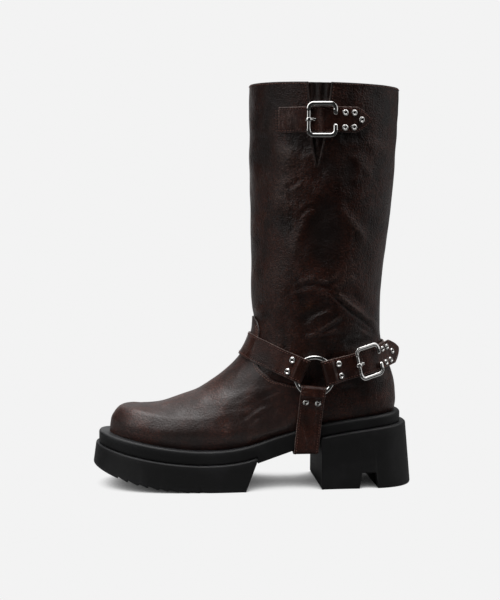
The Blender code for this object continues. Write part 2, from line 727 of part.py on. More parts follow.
def thinned(edges, tolerance):
    """Indices that keep several polylines, thinned alike, within the tolerance of their full forms."""
    points = np.concatenate(edges, axis=1)
    keep = {0, len(points) - 1}
    spans = [(0, len(points) - 1)]
    while spans:
        first, last = spans.pop()
        if last - first < 2:
            continue
        chord = points[last] - points[first]
        part = points[first + 1:last] - points[first]
        size = max(np.dot(chord, chord), 1e-9)
        off = part - np.clip(part @ chord / size, 0.0, 1.0)[:, None] * chord
        off = np.linalg.norm(off.reshape(len(part), -1, 3), axis=2).max(axis=1)
        worst = int(np.argmax(off))
        if off[worst] > tolerance:
            middle = first + 1 + worst
            keep.add(middle)
            spans += [(first, middle), (middle, last)]
    return sorted(keep)


HUG = STRAP_LIFT + STRAP_THICK / 2
OVER_LAYER = HUG + STRAP_THICK + GAP
RING_LIFT = HUG + STRAP_THICK / 2 + FOLD_SLACK + RING_WIRE
OVER_RING = RING_LIFT + RING_WIRE + FOLD_SLACK + STRAP_THICK / 2


def front_height(s, rest):
    """Height of a strap's front layer: over the ring, down to its rivets, then at rest."""
    start = RING_RADIUS + WIRE_SIDE
    down = smooth((s - start) / (RIVET_REACH - RIVET_RADIUS - start))
    settle = smooth((s - SETTLE_START) / SETTLE_REACH)
    height = OVER_RING + (OVER_LAYER - OVER_RING) * down
    return height + (rest - OVER_LAYER) * settle


def fold_path():
    """Middle of the leather at one ring: back layer, then the fold, ending over the ring."""
    radius = (OVER_RING - HUG) / 2
    turn = np.radians(np.linspace(-90.0, 90.0, FOLD_STEPS))
    reach = np.linspace(FOLD_BACK, FOLD_REACH + radius, FOLD_STEPS)
    back = np.stack([reach, np.full_like(reach, HUG)], axis=1)
    fold = np.stack([FOLD_REACH + radius * (1 - np.cos(turn)), HUG + radius * (1 + np.sin(turn))], axis=1)
    return np.concatenate([back[:-1], fold])


def ribbon(name, course, path, tip_end=None):
    """Strap along a path of (s, h), as thick leather, drawn in to a point at tip_end."""
    ahead = np.gradient(path, axis=0)
    side = np.stack([-ahead[:, 1], ahead[:, 0]], axis=1)
    side *= STRAP_THICK / 2 / np.linalg.norm(side, axis=1, keepdims=True)
    left, right = path + side, path - side
    width = np.ones(len(path))
    if tip_end is not None:
        width = np.clip((tip_end - path[:, 0]) / TIP_LENGTH, 0.004, 1.0) ** TIP_POWER
    edges = [course.point(edge[:, 0], q * width, edge[:, 1])
             for edge in (left, right) for q in (-1.0, 0.0, 1.0)]
    keep = thinned(edges, STRAP_TOLERANCE)
    left, right, width = left[keep], right[keep], width[keep]
    q = np.array([-1.0, 0.0, 1.0])[None, :] * width[:, None]
    outer = course.point(left[:, :1], q, left[:, 1:])
    inner = course.point(right[:, :1], q, right[:, 1:])
    points = np.concatenate([outer.reshape(-1, 3), inner.reshape(-1, 3)])
    return solid(name, points, shell_faces(len(keep), 3, False), "leather")


def tube(name, path, normal, radius, closed):
    """Round wire along a flat path whose plane has the given normal."""
    sides = WIRE_SIDES
    if closed:
        ahead = np.roll(path, -1, axis=0) - np.roll(path, 1, axis=0)
    else:
        ahead = np.gradient(path, axis=0)
    outward = np.cross(ahead, normal)
    outward /= np.linalg.norm(outward, axis=1, keepdims=True)
    turn = np.arange(sides) * 2 * math.pi / sides
    ring = np.cos(turn)[None, :, None] * outward[:, None, :] + np.sin(turn)[None, :, None] * normal
    points = (path[:, None, :] + radius * ring).reshape(-1, 3)
    count = len(path)
    faces = []
    for k in range(count if closed else count - 1):
        n = (k + 1) % count
        for side in range(sides):
            other = (side + 1) % sides
            faces.append((k * sides + side, k * sides + other, n * sides + other, n * sides + side))
    if not closed:
        faces.append(tuple(range(sides)))
        faces.append(tuple((count - 1) * sides + side for side in range(sides)))
    return solid(name, points, faces, "steel")


def dome(name, place, normal, radius, high):
    """Low round head on a flat base, the shape of a rivet or stud."""
    along = np.cross(normal, UPWARDS)
    along /= np.linalg.norm(along)
    across = np.cross(normal, along)
    turn = np.arange(DOME_SIDES) * 2 * math.pi / DOME_SIDES
    spoke = np.cos(turn)[:, None] * along + np.sin(turn)[:, None] * across
    shoulder = place + DOME_SHOULDER * radius * spoke + DOME_SHOULDER_HIGH * high * normal
    points = np.concatenate([place + radius * spoke, shoulder, [place + high * normal]])
    faces = [tuple(range(DOME_SIDES))]
    for k in range(DOME_SIDES):
        n = (k + 1) % DOME_SIDES
        faces.append((k, n, DOME_SIDES + n, DOME_SIDES + k))
        faces.append((DOME_SIDES + k, DOME_SIDES + n, 2 * DOME_SIDES))
    return solid(name, points, faces, "steel")


def round_ring(name, centre, along, normal):
    """Wire ring round a centre, in the plane with the given normal."""
    across = np.cross(normal, along)
    turn = np.arange(RING_STEPS) * 2 * math.pi / RING_STEPS
    spoke = np.cos(turn)[:, None] * along + np.sin(turn)[:, None] * across
    return tube(name, centre + RING_LIFT * normal + RING_RADIUS * spoke, normal, RING_WIRE, True)


def ring_plane(ways):
    """Plane on which strap ends meet, laid on the boot: a centre, a direction and a normal.

    Each way is a course with the place where it starts and its sign along the course."""
    a, b, c = (course.point(origin + sign * SEAT_EASE, 0.0, 0.0) for course, origin, sign in ways)
    middle = np.mean([course.point(origin, 0.0, 0.0) for course, origin, sign in ways], axis=0)
    normal = np.cross(b - a, c - a)
    normal /= np.linalg.norm(normal)
    normal *= np.sign(np.dot(normal, middle * (0.0, 1.0, 0.0)))
    near = np.linspace(0.0, SEAT_FLAT, 12)[:, None]
    edges = np.array([[-1.0, 0.0, 1.0]])
    under = np.concatenate([course.point(origin + sign * near, edges, 0.0).reshape(-1, 3)
                            for course, origin, sign in ways])
    centre = middle + np.max((under - middle) @ normal) * normal
    along = a - centre - np.dot(a - centre, normal) * normal
    return centre, along / np.linalg.norm(along), normal


def end_rivets(name, course, sign=1.0, origin=0.0):
    """Two rivets through a folded strap end, at its distance from the ring."""
    for number, spread in enumerate((RIVET_SPREAD, -RIVET_SPREAD), start=1):
        s = origin + sign * RIVET_REACH
        height = OVER_LAYER + STRAP_THICK / 2 + GAP + STRAP_TOLERANCE
        place, _, _, normal = course.frame(s, spread / course.half, height)
        dome("rivet_%s_%d" % (name, number), place, normal, RIVET_RADIUS, RIVET_HIGH)


def frame_path():
    """Middle line of an open buckle frame, from one end of its mouth round to the other."""
    path = [(FRAME_HALF_LONG, FRAME_MOUTH)]
    corners = ((1, 1, 0), (-1, 1, 90), (-1, -1, 180), (1, -1, 270))
    for side, up, start in corners:
        for turn in np.radians(np.linspace(start, start + 90, 5)):
            path.append((side * (FRAME_HALF_LONG - FRAME_CORNER) + FRAME_CORNER * math.cos(turn),
                         up * (FRAME_HALF_WIDE - FRAME_CORNER) + FRAME_CORNER * math.sin(turn)))
    path.append((FRAME_HALF_LONG, -FRAME_MOUTH))
    return np.array(path)


def build_buckle(name, course, s, height):
    """Flat open frame that lies on its strap, and a prong hooked over its closed side."""
    middle, along, across, normal = course.frame(s, 0.0, height)
    reach = np.array([[-FRAME_HALF_LONG], [FRAME_HALF_LONG]])
    bars = course.point(s + reach, np.array([[-1.0, 0.0, 1.0]]), height)
    beyond = FRAME_HALF_WIDE / course.half
    beside = course.point(s + reach, np.array([[-beyond, beyond]]), height - STRAP_THICK)
    lift = max(np.max((bars - middle) @ normal) + GAP, np.max((beside - middle) @ normal)) + FRAME_WIRE
    path = frame_path()
    world = middle + lift * normal + path[:, :1] * along + path[:, 1:] * across
    tube("buckle_" + name, world, normal, FRAME_WIRE, False)
    bar = -FRAME_HALF_LONG
    wrap = FRAME_WIRE + GAP + PRONG_THICK / 2
    turn = np.radians(np.linspace(0.0, 180.0, 7))
    hook = np.stack([bar + wrap * np.cos(turn), lift + wrap * np.sin(turn)], axis=1)
    floor = lift - FRAME_WIRE + PRONG_THICK / 2 + PRONG_LIFT
    line = np.concatenate([[(bar + PRONG_REACH, floor)], [(bar + wrap + PRONG_BEND, floor)], hook])
    ahead = np.gradient(line, axis=0)
    side = np.stack([-ahead[:, 1], ahead[:, 0]], axis=1)
    side *= PRONG_THICK / 2 / np.linalg.norm(side, axis=1, keepdims=True)
    grids = []
    for flat in (line + side, line - side):
        spot = middle + flat[:, :1] * along + flat[:, 1:] * normal
        grids.append(np.stack([spot - PRONG_HALF * across, spot + PRONG_HALF * across], axis=1))
    points = np.concatenate([grid.reshape(-1, 3) for grid in grids])
    solid("prong_" + name, points, shell_faces(len(line), 2, False), "steel")


def build_studs(name, course, s, height):
    for number, (reach, spread) in enumerate(STUDS, start=1):
        place, _, _, normal = course.frame(s + reach, spread / course.half, height + GAP)
        dome("stud_%s_%d" % (name, number), place, normal, STUD_RADIUS, STUD_HIGH)


def tilted(degrees, along, up):
    """Direction in the side view, from its parts along the boot and upwards."""
    turn = math.radians(degrees)
    return (along * math.cos(turn), 0.0, up * math.sin(turn))


def build_harness(trees):
    centre = (RING_X, 0.0, RING_Z)
    whole = (-12.0, 192.0)
    instep = Course(trees, centre, tilted(INSTEP_TILT, -1.0, 1.0), STRAP_HALF, whole)
    heel_way = Course(trees, centre, tilted(HEEL_TILT, 1.0, 1.0), STRAP_HALF, whole)
    down = math.radians(SOLE_TILT)
    under = (-math.sin(down), 0.0, -math.cos(down))
    sole = Course(trees + [sling_tree()], centre, under, STRAP_HALF, whole)
    courses = (instep, heel_way, sole)
    lengths = [np.interp(math.pi, course.turn, course.length) for course in courses]
    outer_ways = [(course, 0.0, 1.0) for course in courses]
    inner_ways = [(course, length, -1.0) for course, length in zip(courses, lengths)]
    planes = [ring_plane(ways) for ways in (outer_ways, inner_ways)]
    for name, ways, plane in zip(("ring_outer", "ring_inner"), (outer_ways, inner_ways), planes):
        round_ring(name, *plane)
        for course, origin, sign in ways:
            course.seat(origin, sign, plane[0], plane[2])
    build_ring_strap("instep", instep, lengths[0])
    build_ring_strap("sole", sole, lengths[2])
    build_heel_straps(heel_way, lengths[1])


def build_ring_strap(name, course, length):
    """Strap from ring to ring, folded round both and standing off sharp corners a little."""
    fold = fold_path()
    s = np.linspace(fold[-1, 0], length - fold[-1, 0], 400)[1:-1]
    height = front_height(np.minimum(s, length - s), HUG)
    for corner in course.corners():
        height += CORNER_BULGE * np.exp(-(((s - corner) / CORNER_REACH) ** 2))
    far = fold[::-1] * (-1.0, 1.0) + (length, 0.0)
    ribbon("strap_" + name, course, np.concatenate([fold, np.stack([s, height], axis=1), far]))
    end_rivets(name + "_outer", course)
    end_rivets(name + "_inner", course, -1.0, length)


def build_heel_straps(way, length):
    """Outer strap to its free tip, which leaves the boot straight, over the inner strap."""
    fold = fold_path()
    buckle_s = way.s_at_x(ANKLE_BUCKLE_X, 30.0, length / 2)
    tip_s = buckle_s + ANKLE_TIP_REACH
    outer_way = straightened(way, buckle_s + TIP_STRAIGHT_REACH)
    s = np.linspace(fold[-1, 0], tip_s, 300)[1:]
    path = np.concatenate([fold, np.stack([s, front_height(s, OVER_LAYER)], axis=1)])
    ribbon("strap_heel_outer", outer_way, path, tip_s)
    end_rivets("heel_outer", outer_way)
    top = OVER_LAYER + STRAP_THICK / 2
    build_buckle("ankle", outer_way, buckle_s, top)
    build_studs("ankle", outer_way, buckle_s, top)
    start = way.s_at_x(INNER_STRAP_END_X, 30.0, length / 2)
    s = np.linspace(start, length - fold[-1, 0], 300)[:-1]
    far = fold[::-1] * (-1.0, 1.0) + (length, 0.0)
    path = np.concatenate([np.stack([s, front_height(length - s, HUG)], axis=1), far])
    ribbon("strap_heel_inner", way, path)
    end_rivets("heel_inner", way, -1.0, length)


def straightened(way, reach):
    """The same way, but running straight on past a distance, as a stiff free end does."""
    free = Course.__new__(Course)
    free.half, free.out, free.heading = way.half, way.out, way.heading
    free.across, free.turn, free.length, free.seats = way.across, way.turn, way.length, way.seats
    free.rows = []
    past = np.clip(way.length - reach, 0.0, None)[:, None]
    beyond = past[:, 0] > 0.0
    for world, normals in way.rows:
        last = int(np.argmax(beyond))
        ahead = world[last] - world[last - 2]
        ahead /= np.linalg.norm(ahead)
        line = world[last] + (past - past[last]) * ahead
        free.rows.append((np.where(beyond[:, None], line, world),
                          np.where(beyond[:, None], normals[last], normals)))
    return free


def build_calf_strap(trees):
    middle_x = (SECTIONS["upper calf"][0] + SECTIONS["upper calf"][2]) / 2
    way = Course(trees, (middle_x, 0.0, CALF_Z), (1.0, 0.0, 0.0), CALF_HALF, (-75.0, 75.0))
    buckle_s = way.s_at_x(CALF_BUCKLE_X, -60.0, 60.0)
    tip_s = buckle_s + CALF_TIP_REACH
    s = np.linspace(buckle_s - CALF_SEWN_REACH, tip_s, 200)
    ribbon("strap_calf", way, np.stack([s, np.full_like(s, HUG)], axis=1), tip_s)
    top = HUG + STRAP_THICK / 2
    build_buckle("calf", way, buckle_s, top)
    build_studs("calf", way, buckle_s, top)


def centre_across():
    """Move every mesh so that the boot reaches equally far to both sides of y = 0."""
    pieces = [item for item in bpy.data.objects if not item.hide_render]
    sides = [vertex.co.y for item in pieces for vertex in item.data.vertices]
    shift = Vector((0.0, -(min(sides) + max(sides)) / 2, 0.0))
    for item in bpy.data.objects:
        item.data.transform(Matrix.Translation(shift))


clear_scene()
midsole = build_midsole()
build_outsole()
build_heel()
build_insole()
upper = build_upper()
vamp = build_vamp()
build_gusset()
body = [surface_tree(item) for item in (midsole, upper, vamp)]
build_harness(body)
build_calf_strap(body)
cut(upper, build_slit_cutter())
centre_across()
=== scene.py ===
import math

import bmesh
import bpy
import numpy as np
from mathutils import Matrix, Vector
from mathutils.bvhtree import BVHTree


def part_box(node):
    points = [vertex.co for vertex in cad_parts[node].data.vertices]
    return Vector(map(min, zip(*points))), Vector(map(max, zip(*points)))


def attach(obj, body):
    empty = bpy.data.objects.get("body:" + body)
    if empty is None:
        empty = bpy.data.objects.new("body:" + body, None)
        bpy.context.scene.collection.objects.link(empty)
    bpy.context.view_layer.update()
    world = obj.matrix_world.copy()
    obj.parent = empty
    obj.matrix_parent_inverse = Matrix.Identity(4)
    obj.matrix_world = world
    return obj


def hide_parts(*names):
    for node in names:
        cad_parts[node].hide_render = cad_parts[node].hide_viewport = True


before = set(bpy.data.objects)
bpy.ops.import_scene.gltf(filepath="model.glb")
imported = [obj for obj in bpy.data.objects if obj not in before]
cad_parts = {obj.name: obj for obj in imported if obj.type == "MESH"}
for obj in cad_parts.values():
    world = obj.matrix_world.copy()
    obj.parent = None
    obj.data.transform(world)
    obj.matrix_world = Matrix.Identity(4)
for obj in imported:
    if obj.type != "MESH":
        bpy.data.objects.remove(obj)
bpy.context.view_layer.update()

# Midsole: a full-length band of black moulded rubber with a rounded ledge round its top edge.
# The upper is cemented onto the ledge, and the forefoot block and the heel are cemented below it.
MM = 0.001
WELD = 2e-6
GAP = 0.3
SEAT_GAP = 0.45
SHIFT_Y = sum(corner.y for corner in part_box("upper")) / 2 / MM
BALL_X = -45.0
HEEL_X = 85.0
TOE_SWING = 7.0
SWING_START_X = 60.0
SWING_REACH = 150.0
ARCH_X = 16.0
ARCH_REACH = 36.0
ARCH_DEPTH = 6.0
OUTER_ARCH_SHARE = 0.3
# Heights along the boot, in columns: x, the ledge that carries the upper, the band below it
SOLE_LINE = (
    (-138.0, 49.2, 10.8), (-110.0, 43.7, 12.3), (-80.0, 38.2, 12.2), (-42.0, 35.0, 11.8),
    (-10.0, 37.9, 11.9), (20.0, 46.7, 11.5), (45.0, 53.3, 10.6), (75.0, 58.5, 10.1),
    (105.0, 62.4, 9.9), (136.0, 65.5, 10.2))
SOLE_X, LEDGE_Z, BAND_HIGH = (np.array(column) for column in zip(*SOLE_LINE))
OUTLINE_COLUMNS = ("front_x", "back_x", "front_cap", "back_cap", "front_half", "back_half",
                   "fullness", "sag", "swing")
BAND = dict(zip(OUTLINE_COLUMNS, (-136.5, 132.0, 0.280, 0.150, 45.0, 32.5, 2.35, 1.0, 1.0)))
LEDGE_ROUND = 2.5
# Share of the paler rubber edges along the boot, partly worn and partly a painted lip highlight
WEAR_AND_HIGHLIGHT_ALONG = ((-120.0, 1.0), (-20.0, 0.85), (10.0, 0.5), (30.0, 0.3), (140.0, 0.35))
BAND_FOOT_ROUND = 0.8
BLOCK_BACK_TOP_X = 1.2
WAIST_FRONT_X, WAIST_BACK_X = 1.6, 56.6
WAIST_FRONT_Z, WAIST_BACK_Z = 23.6, 41.6
BREAST_X = 57.0
END_STEPS = 34
MIDDLE_STEPS = 46


def smooth(share):
    """Smooth step from 0 to 1."""
    share = np.clip(share, 0.0, 1.0)
    return share * share * (3.0 - 2.0 * share)


def curve_through(knots, values, x):
    """Cubic Hermite curve through a table's rows, level beyond its ends."""
    knots = np.asarray(knots, float)
    values = np.asarray(values, float)
    slopes = np.gradient(values, knots)
    x = np.clip(x, knots[0], knots[-1])
    k = np.clip(np.searchsorted(knots, x, side="right") - 1, 0, len(knots) - 2)
    step = knots[k + 1] - knots[k]
    t = (x - knots[k]) / step
    start = (2 * t**3 - 3 * t**2 + 1) * values[k] + (t**3 - 2 * t**2 + t) * step * slopes[k]
    end = (3 * t**2 - 2 * t**3) * values[k + 1] + (t**3 - t**2) * step * slopes[k + 1]
    return start + end


def unit(vectors):
    """Vectors brought to length 1."""
    return vectors / np.linalg.norm(vectors, axis=-1, keepdims=True)


def ledge_z(x):
    """Top of the band along the boot."""
    return curve_through(SOLE_X, LEDGE_Z, x)


def step_z(x):
    """Lower edge of the band, where the blocks stand out."""
    return ledge_z(x) - curve_through(SOLE_X, BAND_HIGH, x)


def side_y(x, side, row):
    """Edge of a plan outline at x: a half width eased from heel to ball, less the arch's hollow, times
    a superellipse at both ends, on a centre line that swings inwards to the toe. Side -1 is the outer."""
    chord = row["back_x"] - row["front_x"]
    to_ball = smooth((HEEL_X - x) / (HEEL_X - BALL_X))
    half = row["back_half"] + (row["front_half"] - row["back_half"]) * to_ball
    arch = ARCH_DEPTH * row["sag"] * np.exp(-(((x - ARCH_X) / ARCH_REACH) ** 2))
    half = half - arch * np.where(side > 0, 1.0, OUTER_ARCH_SHARE)
    power = row["fullness"]
    to_front = np.clip(1.0 - (x - row["front_x"]) / (row["front_cap"] * chord + 1e-9), 0.0, 1.0)
    to_back = np.clip(1.0 - (row["back_x"] - x) / (row["back_cap"] * chord + 1e-9), 0.0, 1.0)
    ends = (1.0 - to_front**power) ** (1.0 / power) * (1.0 - to_back**power) ** (1.0 / power)
    swing = TOE_SWING * smooth((SWING_START_X - x) / SWING_REACH)
    return swing * row["swing"] + side * half * ends


def stations(row, start=None, end=None, extra=()):
    """Places along the boot where an outline is sampled, closer together at its round ends."""
    chord = row["back_x"] - row["front_x"]
    turn = np.linspace(0.0, math.pi / 2, END_STEPS)
    front = row["front_x"] + row["front_cap"] * chord * (1.0 - np.cos(turn))
    back = row["back_x"] - row["back_cap"] * chord * (1.0 - np.cos(turn))
    middle = np.linspace(front[-1], back[-1], MIDDLE_STEPS)[1:-1]
    places = np.concatenate([front, middle, back])
    low = row["front_x"] if start is None else start
    high = row["back_x"] if end is None else end
    places = places[(places > low + 0.02) & (places < high - 0.02)]
    return np.unique(np.concatenate([[low], places, [high], np.asarray(extra, float)]))


def plan_loop(x, row, z, inset=0.0):
    """Closed loop of a plan outline at the stations x, outer side first, drawn in by inset."""
    outer = np.stack([x, side_y(x, -1.0, row), z], axis=1)
    inner = np.stack([x, side_y(x, 1.0, row), z], axis=1)[::-1]
    loop = np.concatenate([outer, inner])
    ahead = np.roll(loop, -1, axis=0) - np.roll(loop, 1, axis=0)
    inwards = np.stack([-ahead[:, 1], ahead[:, 0]], axis=1)
    for one, other in ((0, -1), (len(x) - 1, len(x))):
        if np.allclose(loop[one], loop[other]):
            inwards[one] = inwards[other] = inwards[one] + inwards[other]
    loop[:, :2] += inset * unit(inwards)
    return loop


def grid_faces(rows, columns, round_rows=False, round_columns=False, first=0):
    """Quads of a grid of points counted row by row; a round direction joins its last line to its first."""
    r = np.arange(rows if round_rows else rows - 1)[:, None]
    c = np.arange(columns if round_columns else columns - 1)[None, :]
    up, on = (r + 1) % rows, (c + 1) % columns
    corners = [r * columns + c, r * columns + on, up * columns + on, up * columns + c]
    return (first + np.stack(np.broadcast_arrays(*corners), axis=-1).reshape(-1, 4)).tolist()


def tube_faces(rows, columns):
    """Quads of a tube of rings, and a face that closes each of its two ends."""
    last = (rows - 1) * columns
    ends = [list(range(columns)), list(range(last, last + columns))]
    return grid_faces(rows, columns, round_columns=True) + ends


def stack_faces(levels, size):
    """Quads round a stack of equal loops, and strips from side to side that close its two ends."""
    k = np.arange(size // 2 - 1)
    cap = np.stack([k, k + 1, size - 2 - k, size - 1 - k], axis=1)
    top = cap + (levels - 1) * size
    return grid_faces(levels, size, round_columns=True) + cap[:, ::-1].tolist() + top.tolist()


def add_piece(name, points, faces, finish, nodes=(), marks=None, sharp=35.0):
    """Mesh object from points in millimetres: welded where points meet, faces outwards, smooth but for
    edges past the sharp angle. It rides on the boot and stands for its nodes of the frame."""
    mesh = bpy.data.meshes.new(name)
    mesh.from_pydata(((np.asarray(points) + (0.0, SHIFT_Y, 0.0)) * MM).tolist(), [], faces)
    for mark, values in (marks or {}).items():
        layer = mesh.attributes.new(mark, "FLOAT", "POINT")
        layer.data.foreach_set("value", np.ascontiguousarray(values, dtype=np.float32))
    work = bmesh.new()
    work.from_mesh(mesh)
    bmesh.ops.remove_doubles(work, verts=work.verts, dist=WELD)
    bmesh.ops.recalc_face_normals(work, faces=work.faces)
    work.to_mesh(mesh)
    work.free()
    mesh.shade_smooth()
    mesh.set_sharp_from_angle(angle=math.radians(sharp))
    mesh.materials.append(finish)
    item = bpy.data.objects.new(name, mesh)
    bpy.context.collection.objects.link(item)
    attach(item, "root")
    if nodes:
        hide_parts(*nodes)
    return item


def node(tree, kind, inputs=None, **settings):
    """Shader node of a kind with its settings, its inputs set to values or linked to sockets."""
    made = tree.nodes.new(kind)
    for key, value in settings.items():
        setattr(made, key, value)
    for key, value in (inputs or {}).items():
        if isinstance(value, bpy.types.NodeSocket):
            tree.links.new(value, made.inputs[key])
        else:
            made.inputs[key].default_value = value
    return made


def reckon(tree, operation, a, b=0.0, clamp=False):
    """One step of arithmetic on two values."""
    return node(tree, "ShaderNodeMath", {0: a, 1: b}, operation=operation, use_clamp=clamp).outputs[0]


def plus(tree, a, b, clamp=False):
    """Sum of two values."""
    return reckon(tree, "ADD", a, b, clamp)


def times(tree, a, b, clamp=False):
    """Product of two values."""
    return reckon(tree, "MULTIPLY", a, b, clamp)


def spread(tree, value, low, high, to_low=0.0, to_high=1.0):
    """A value brought from one range to another by a smooth step."""
    ends = {"Value": value, "From Min": low, "From Max": high, "To Min": to_low, "To Max": to_high}
    return node(tree, "ShaderNodeMapRange", ends, interpolation_type="SMOOTHSTEP").outputs[0]


def mixed(tree, share, first, second):
    """Colour between two colours."""
    return node(tree, "ShaderNodeMix", {0: share, 6: first, 7: second}, data_type="RGBA").outputs[2]


def weighed(tree, *parts):
    """Sum of patterns, each times its share."""
    values = [times(tree, pattern, share) for pattern, share in parts]
    total = values[0]
    for value in values[1:]:
        total = plus(tree, total, value)
    return total


def noise(tree, place, scale, detail=3.0, roughness=0.55):
    """Cloudy pattern between 0 and 1."""
    inputs = {"Vector": place, "Scale": scale, "Detail": detail, "Roughness": roughness}
    return node(tree, "ShaderNodeTexNoise", inputs).outputs[0]


def effect(name, takes, gives):
    """Empty node group with named sockets: the group, its input sockets and its output sockets."""
    group = bpy.data.node_groups.new(name, "ShaderNodeTree")
    for label, kind in takes:
        group.interface.new_socket(label, in_out="INPUT", socket_type="NodeSocket" + kind)
    for label, kind in gives:
        group.interface.new_socket(label, in_out="OUTPUT", socket_type="NodeSocket" + kind)
    return group, group.nodes.new("NodeGroupInput").outputs, group.nodes.new("NodeGroupOutput").inputs


def new_finish(name):
    """New material with its node tree, its shader and the Object coordinates."""
    material = bpy.data.materials.new(name)
    material.use_nodes = True
    tree = material.node_tree
    shader = tree.nodes["Principled BSDF"]
    return material, tree, shader, node(tree, "ShaderNodeTexCoord").outputs["Object"]


def mark_value(tree, name):
    """Value of a mark that a mesh carries at its points."""
    return node(tree, "ShaderNodeAttribute", attribute_name=name).outputs["Fac"]


def feed(tree, shader, colour, rough):
    """Patterns of colour and roughness linked to a shader."""
    tree.links.new(colour, shader.inputs["Base Color"])
    tree.links.new(rough, shader.inputs["Roughness"])


def raised(tree, shader, height, distance, strength):
    """Fine relief on a shader from a height pattern."""
    inputs = {"Height": height, "Distance": distance, "Strength": strength}
    tree.links.new(node(tree, "ShaderNodeBump", inputs).outputs[0], shader.inputs["Normal"])


def rubber_finish(name, black, worn_and_highlit_grey, roughness):
    """Matte moulded rubber: fine speckle, faint cloudy dust, and edges made paler, partly worn and partly a
    painted highlight along their rounded lips.
    """
    material, tree, shader, place = new_finish(name)
    speckle = noise(tree, place, 1500.0, 2.0)
    cloud = noise(tree, place, 38.0, 4.0)
    dust = times(tree, spread(tree, cloud, 0.48, 0.75), 0.12)
    # Paler edges from the mark: partly worn, partly a painted highlight along the rounded lips
    edge_wear_and_highlight = times(tree, mark_value(tree, "wear_and_lip_highlight"), spread(tree, cloud, 0.25, 0.6, 0.55, 1.0))
    share = plus(tree, dust, times(tree, edge_wear_and_highlight, 0.85), clamp=True)
    rough = plus(tree, roughness, weighed(tree, (speckle, 0.14), (edge_wear_and_highlight, -0.26)))
    feed(tree, shader, mixed(tree, share, black, worn_and_highlit_grey), rough)
    shader.inputs["Specular IOR Level"].default_value = 0.28
    raised(tree, shader, plus(tree, times(tree, speckle, 0.3), cloud), 0.0003, 0.5)
    return material


def wear_and_highlight_share(x):
    """Share of the paler edges along the boot, partly worn and partly a painted lip highlight: full at the
    toe, less from the ball of the foot backwards.
    """
    return np.interp(x, *zip(*WEAR_AND_HIGHLIGHT_ALONG))


def edge_arc(radius, steps):
    """Quarter round in (inset, drop): from the side of a block to its flat."""
    turn = np.linspace(0.0, math.pi / 2, steps)
    return radius * (1.0 - np.cos(turn)), radius * (1.0 - np.sin(turn))


black_rubber = rubber_finish("black moulded rubber", (0.0042, 0.0042, 0.0044, 1.0),
                             (0.046, 0.046, 0.049, 1.0), 0.52)
x = stations(BAND, extra=(BLOCK_BACK_TOP_X, WAIST_FRONT_X, WAIST_BACK_X, BREAST_X))
waist = np.interp(x, (WAIST_FRONT_X, WAIST_BACK_X), (WAIST_FRONT_Z, WAIST_BACK_Z))
under = np.where((x > BLOCK_BACK_TOP_X) & (x < BREAST_X), waist, step_z(x))
both = np.concatenate([x, x[::-1]])
loops = [plan_loop(x, BAND, under + drop, inset) for inset, drop in zip(*edge_arc(BAND_FOOT_ROUND, 4))][::-1]
wear_and_lip_highlight = [0.0] * len(loops)
low, high = under + BAND_FOOT_ROUND, ledge_z(x) - LEDGE_ROUND
loops += [plan_loop(x, BAND, low + share * (high - low)) for share in np.linspace(0.0, 1.0, 6)[1:-1]]
wear_and_lip_highlight += [0.0, 0.0, 0.0, 0.1]
for inset, drop in zip(*edge_arc(LEDGE_ROUND, 8)):
    loop = plan_loop(x, BAND, ledge_z(x) - drop, inset)
    loop[:, 2] += ledge_z(loop[:, 0]) - ledge_z(both)
    loops.append(loop)
    # The ledge's rounded lip is made paler: a painted highlight, partly worn as well
    wear_and_lip_highlight.append(0.25 + 0.6 * inset / LEDGE_ROUND)
band_points = np.concatenate(loops)
band_faces = stack_faces(len(loops), len(both))
add_piece("midsole_band", band_points, band_faces, black_rubber, ["midsole"],
          {"wear_and_lip_highlight": np.outer(wear_and_lip_highlight, wear_and_highlight_share(both)).ravel()})

# Forefoot block: the thick platform under the ball and toe, moulded in the same black rubber.
# Its sides flare to the floor, the toe is sprung and bevelled, and low teeth cross its tread.
BLOCK_TOP = dict(zip(OUTLINE_COLUMNS, (-139.3, 137.1, 0.282, 0.152, 48.0, 36.5, 2.35, 1.0, 1.0)))
BLOCK_FLOOR = dict(zip(OUTLINE_COLUMNS, (-141.5, 141.5, 0.284, 0.155, 50.5, 38.7, 2.40, 1.0, 1.0)))
BLOCK_ROUND = 1.6
FLOOR_ROUND = 1.5
BLOCK_BACK_FLOOR_X = -9.0
SPRING_START_X = -48.0
SPRING_HEIGHT = 19.5
SPRING_POWER = 2.1
TOOTH_PITCH = 8.9
TOOTH_COUNT = 9
TOOTH_FIRST_X = -120.5
TOOTH_LAND = 1.4
TOOTH_DEEP = 1.7


def spring_z(x):
    """Underside of the forefoot block: flat on the floor, then rising as a power towards the toe."""
    reach = SPRING_START_X - BLOCK_FLOOR["front_x"]
    return SPRING_HEIGHT * np.clip((SPRING_START_X - x) / reach, 0.0, 1.0) ** SPRING_POWER


def tread_z(x):
    """Underside with its teeth: behind each tooth a step upwards that runs out before the next one."""
    place = (x - TOOTH_FIRST_X) / TOOTH_PITCH
    toothed = (place >= 0.0) & (place < TOOTH_COUNT)
    run_out = np.clip(1.0 - (place % 1.0) * TOOTH_PITCH / (TOOTH_PITCH - TOOTH_LAND), 0.0, 1.0)
    return spring_z(x) + TOOTH_DEEP * np.where(toothed, run_out, 0.0)


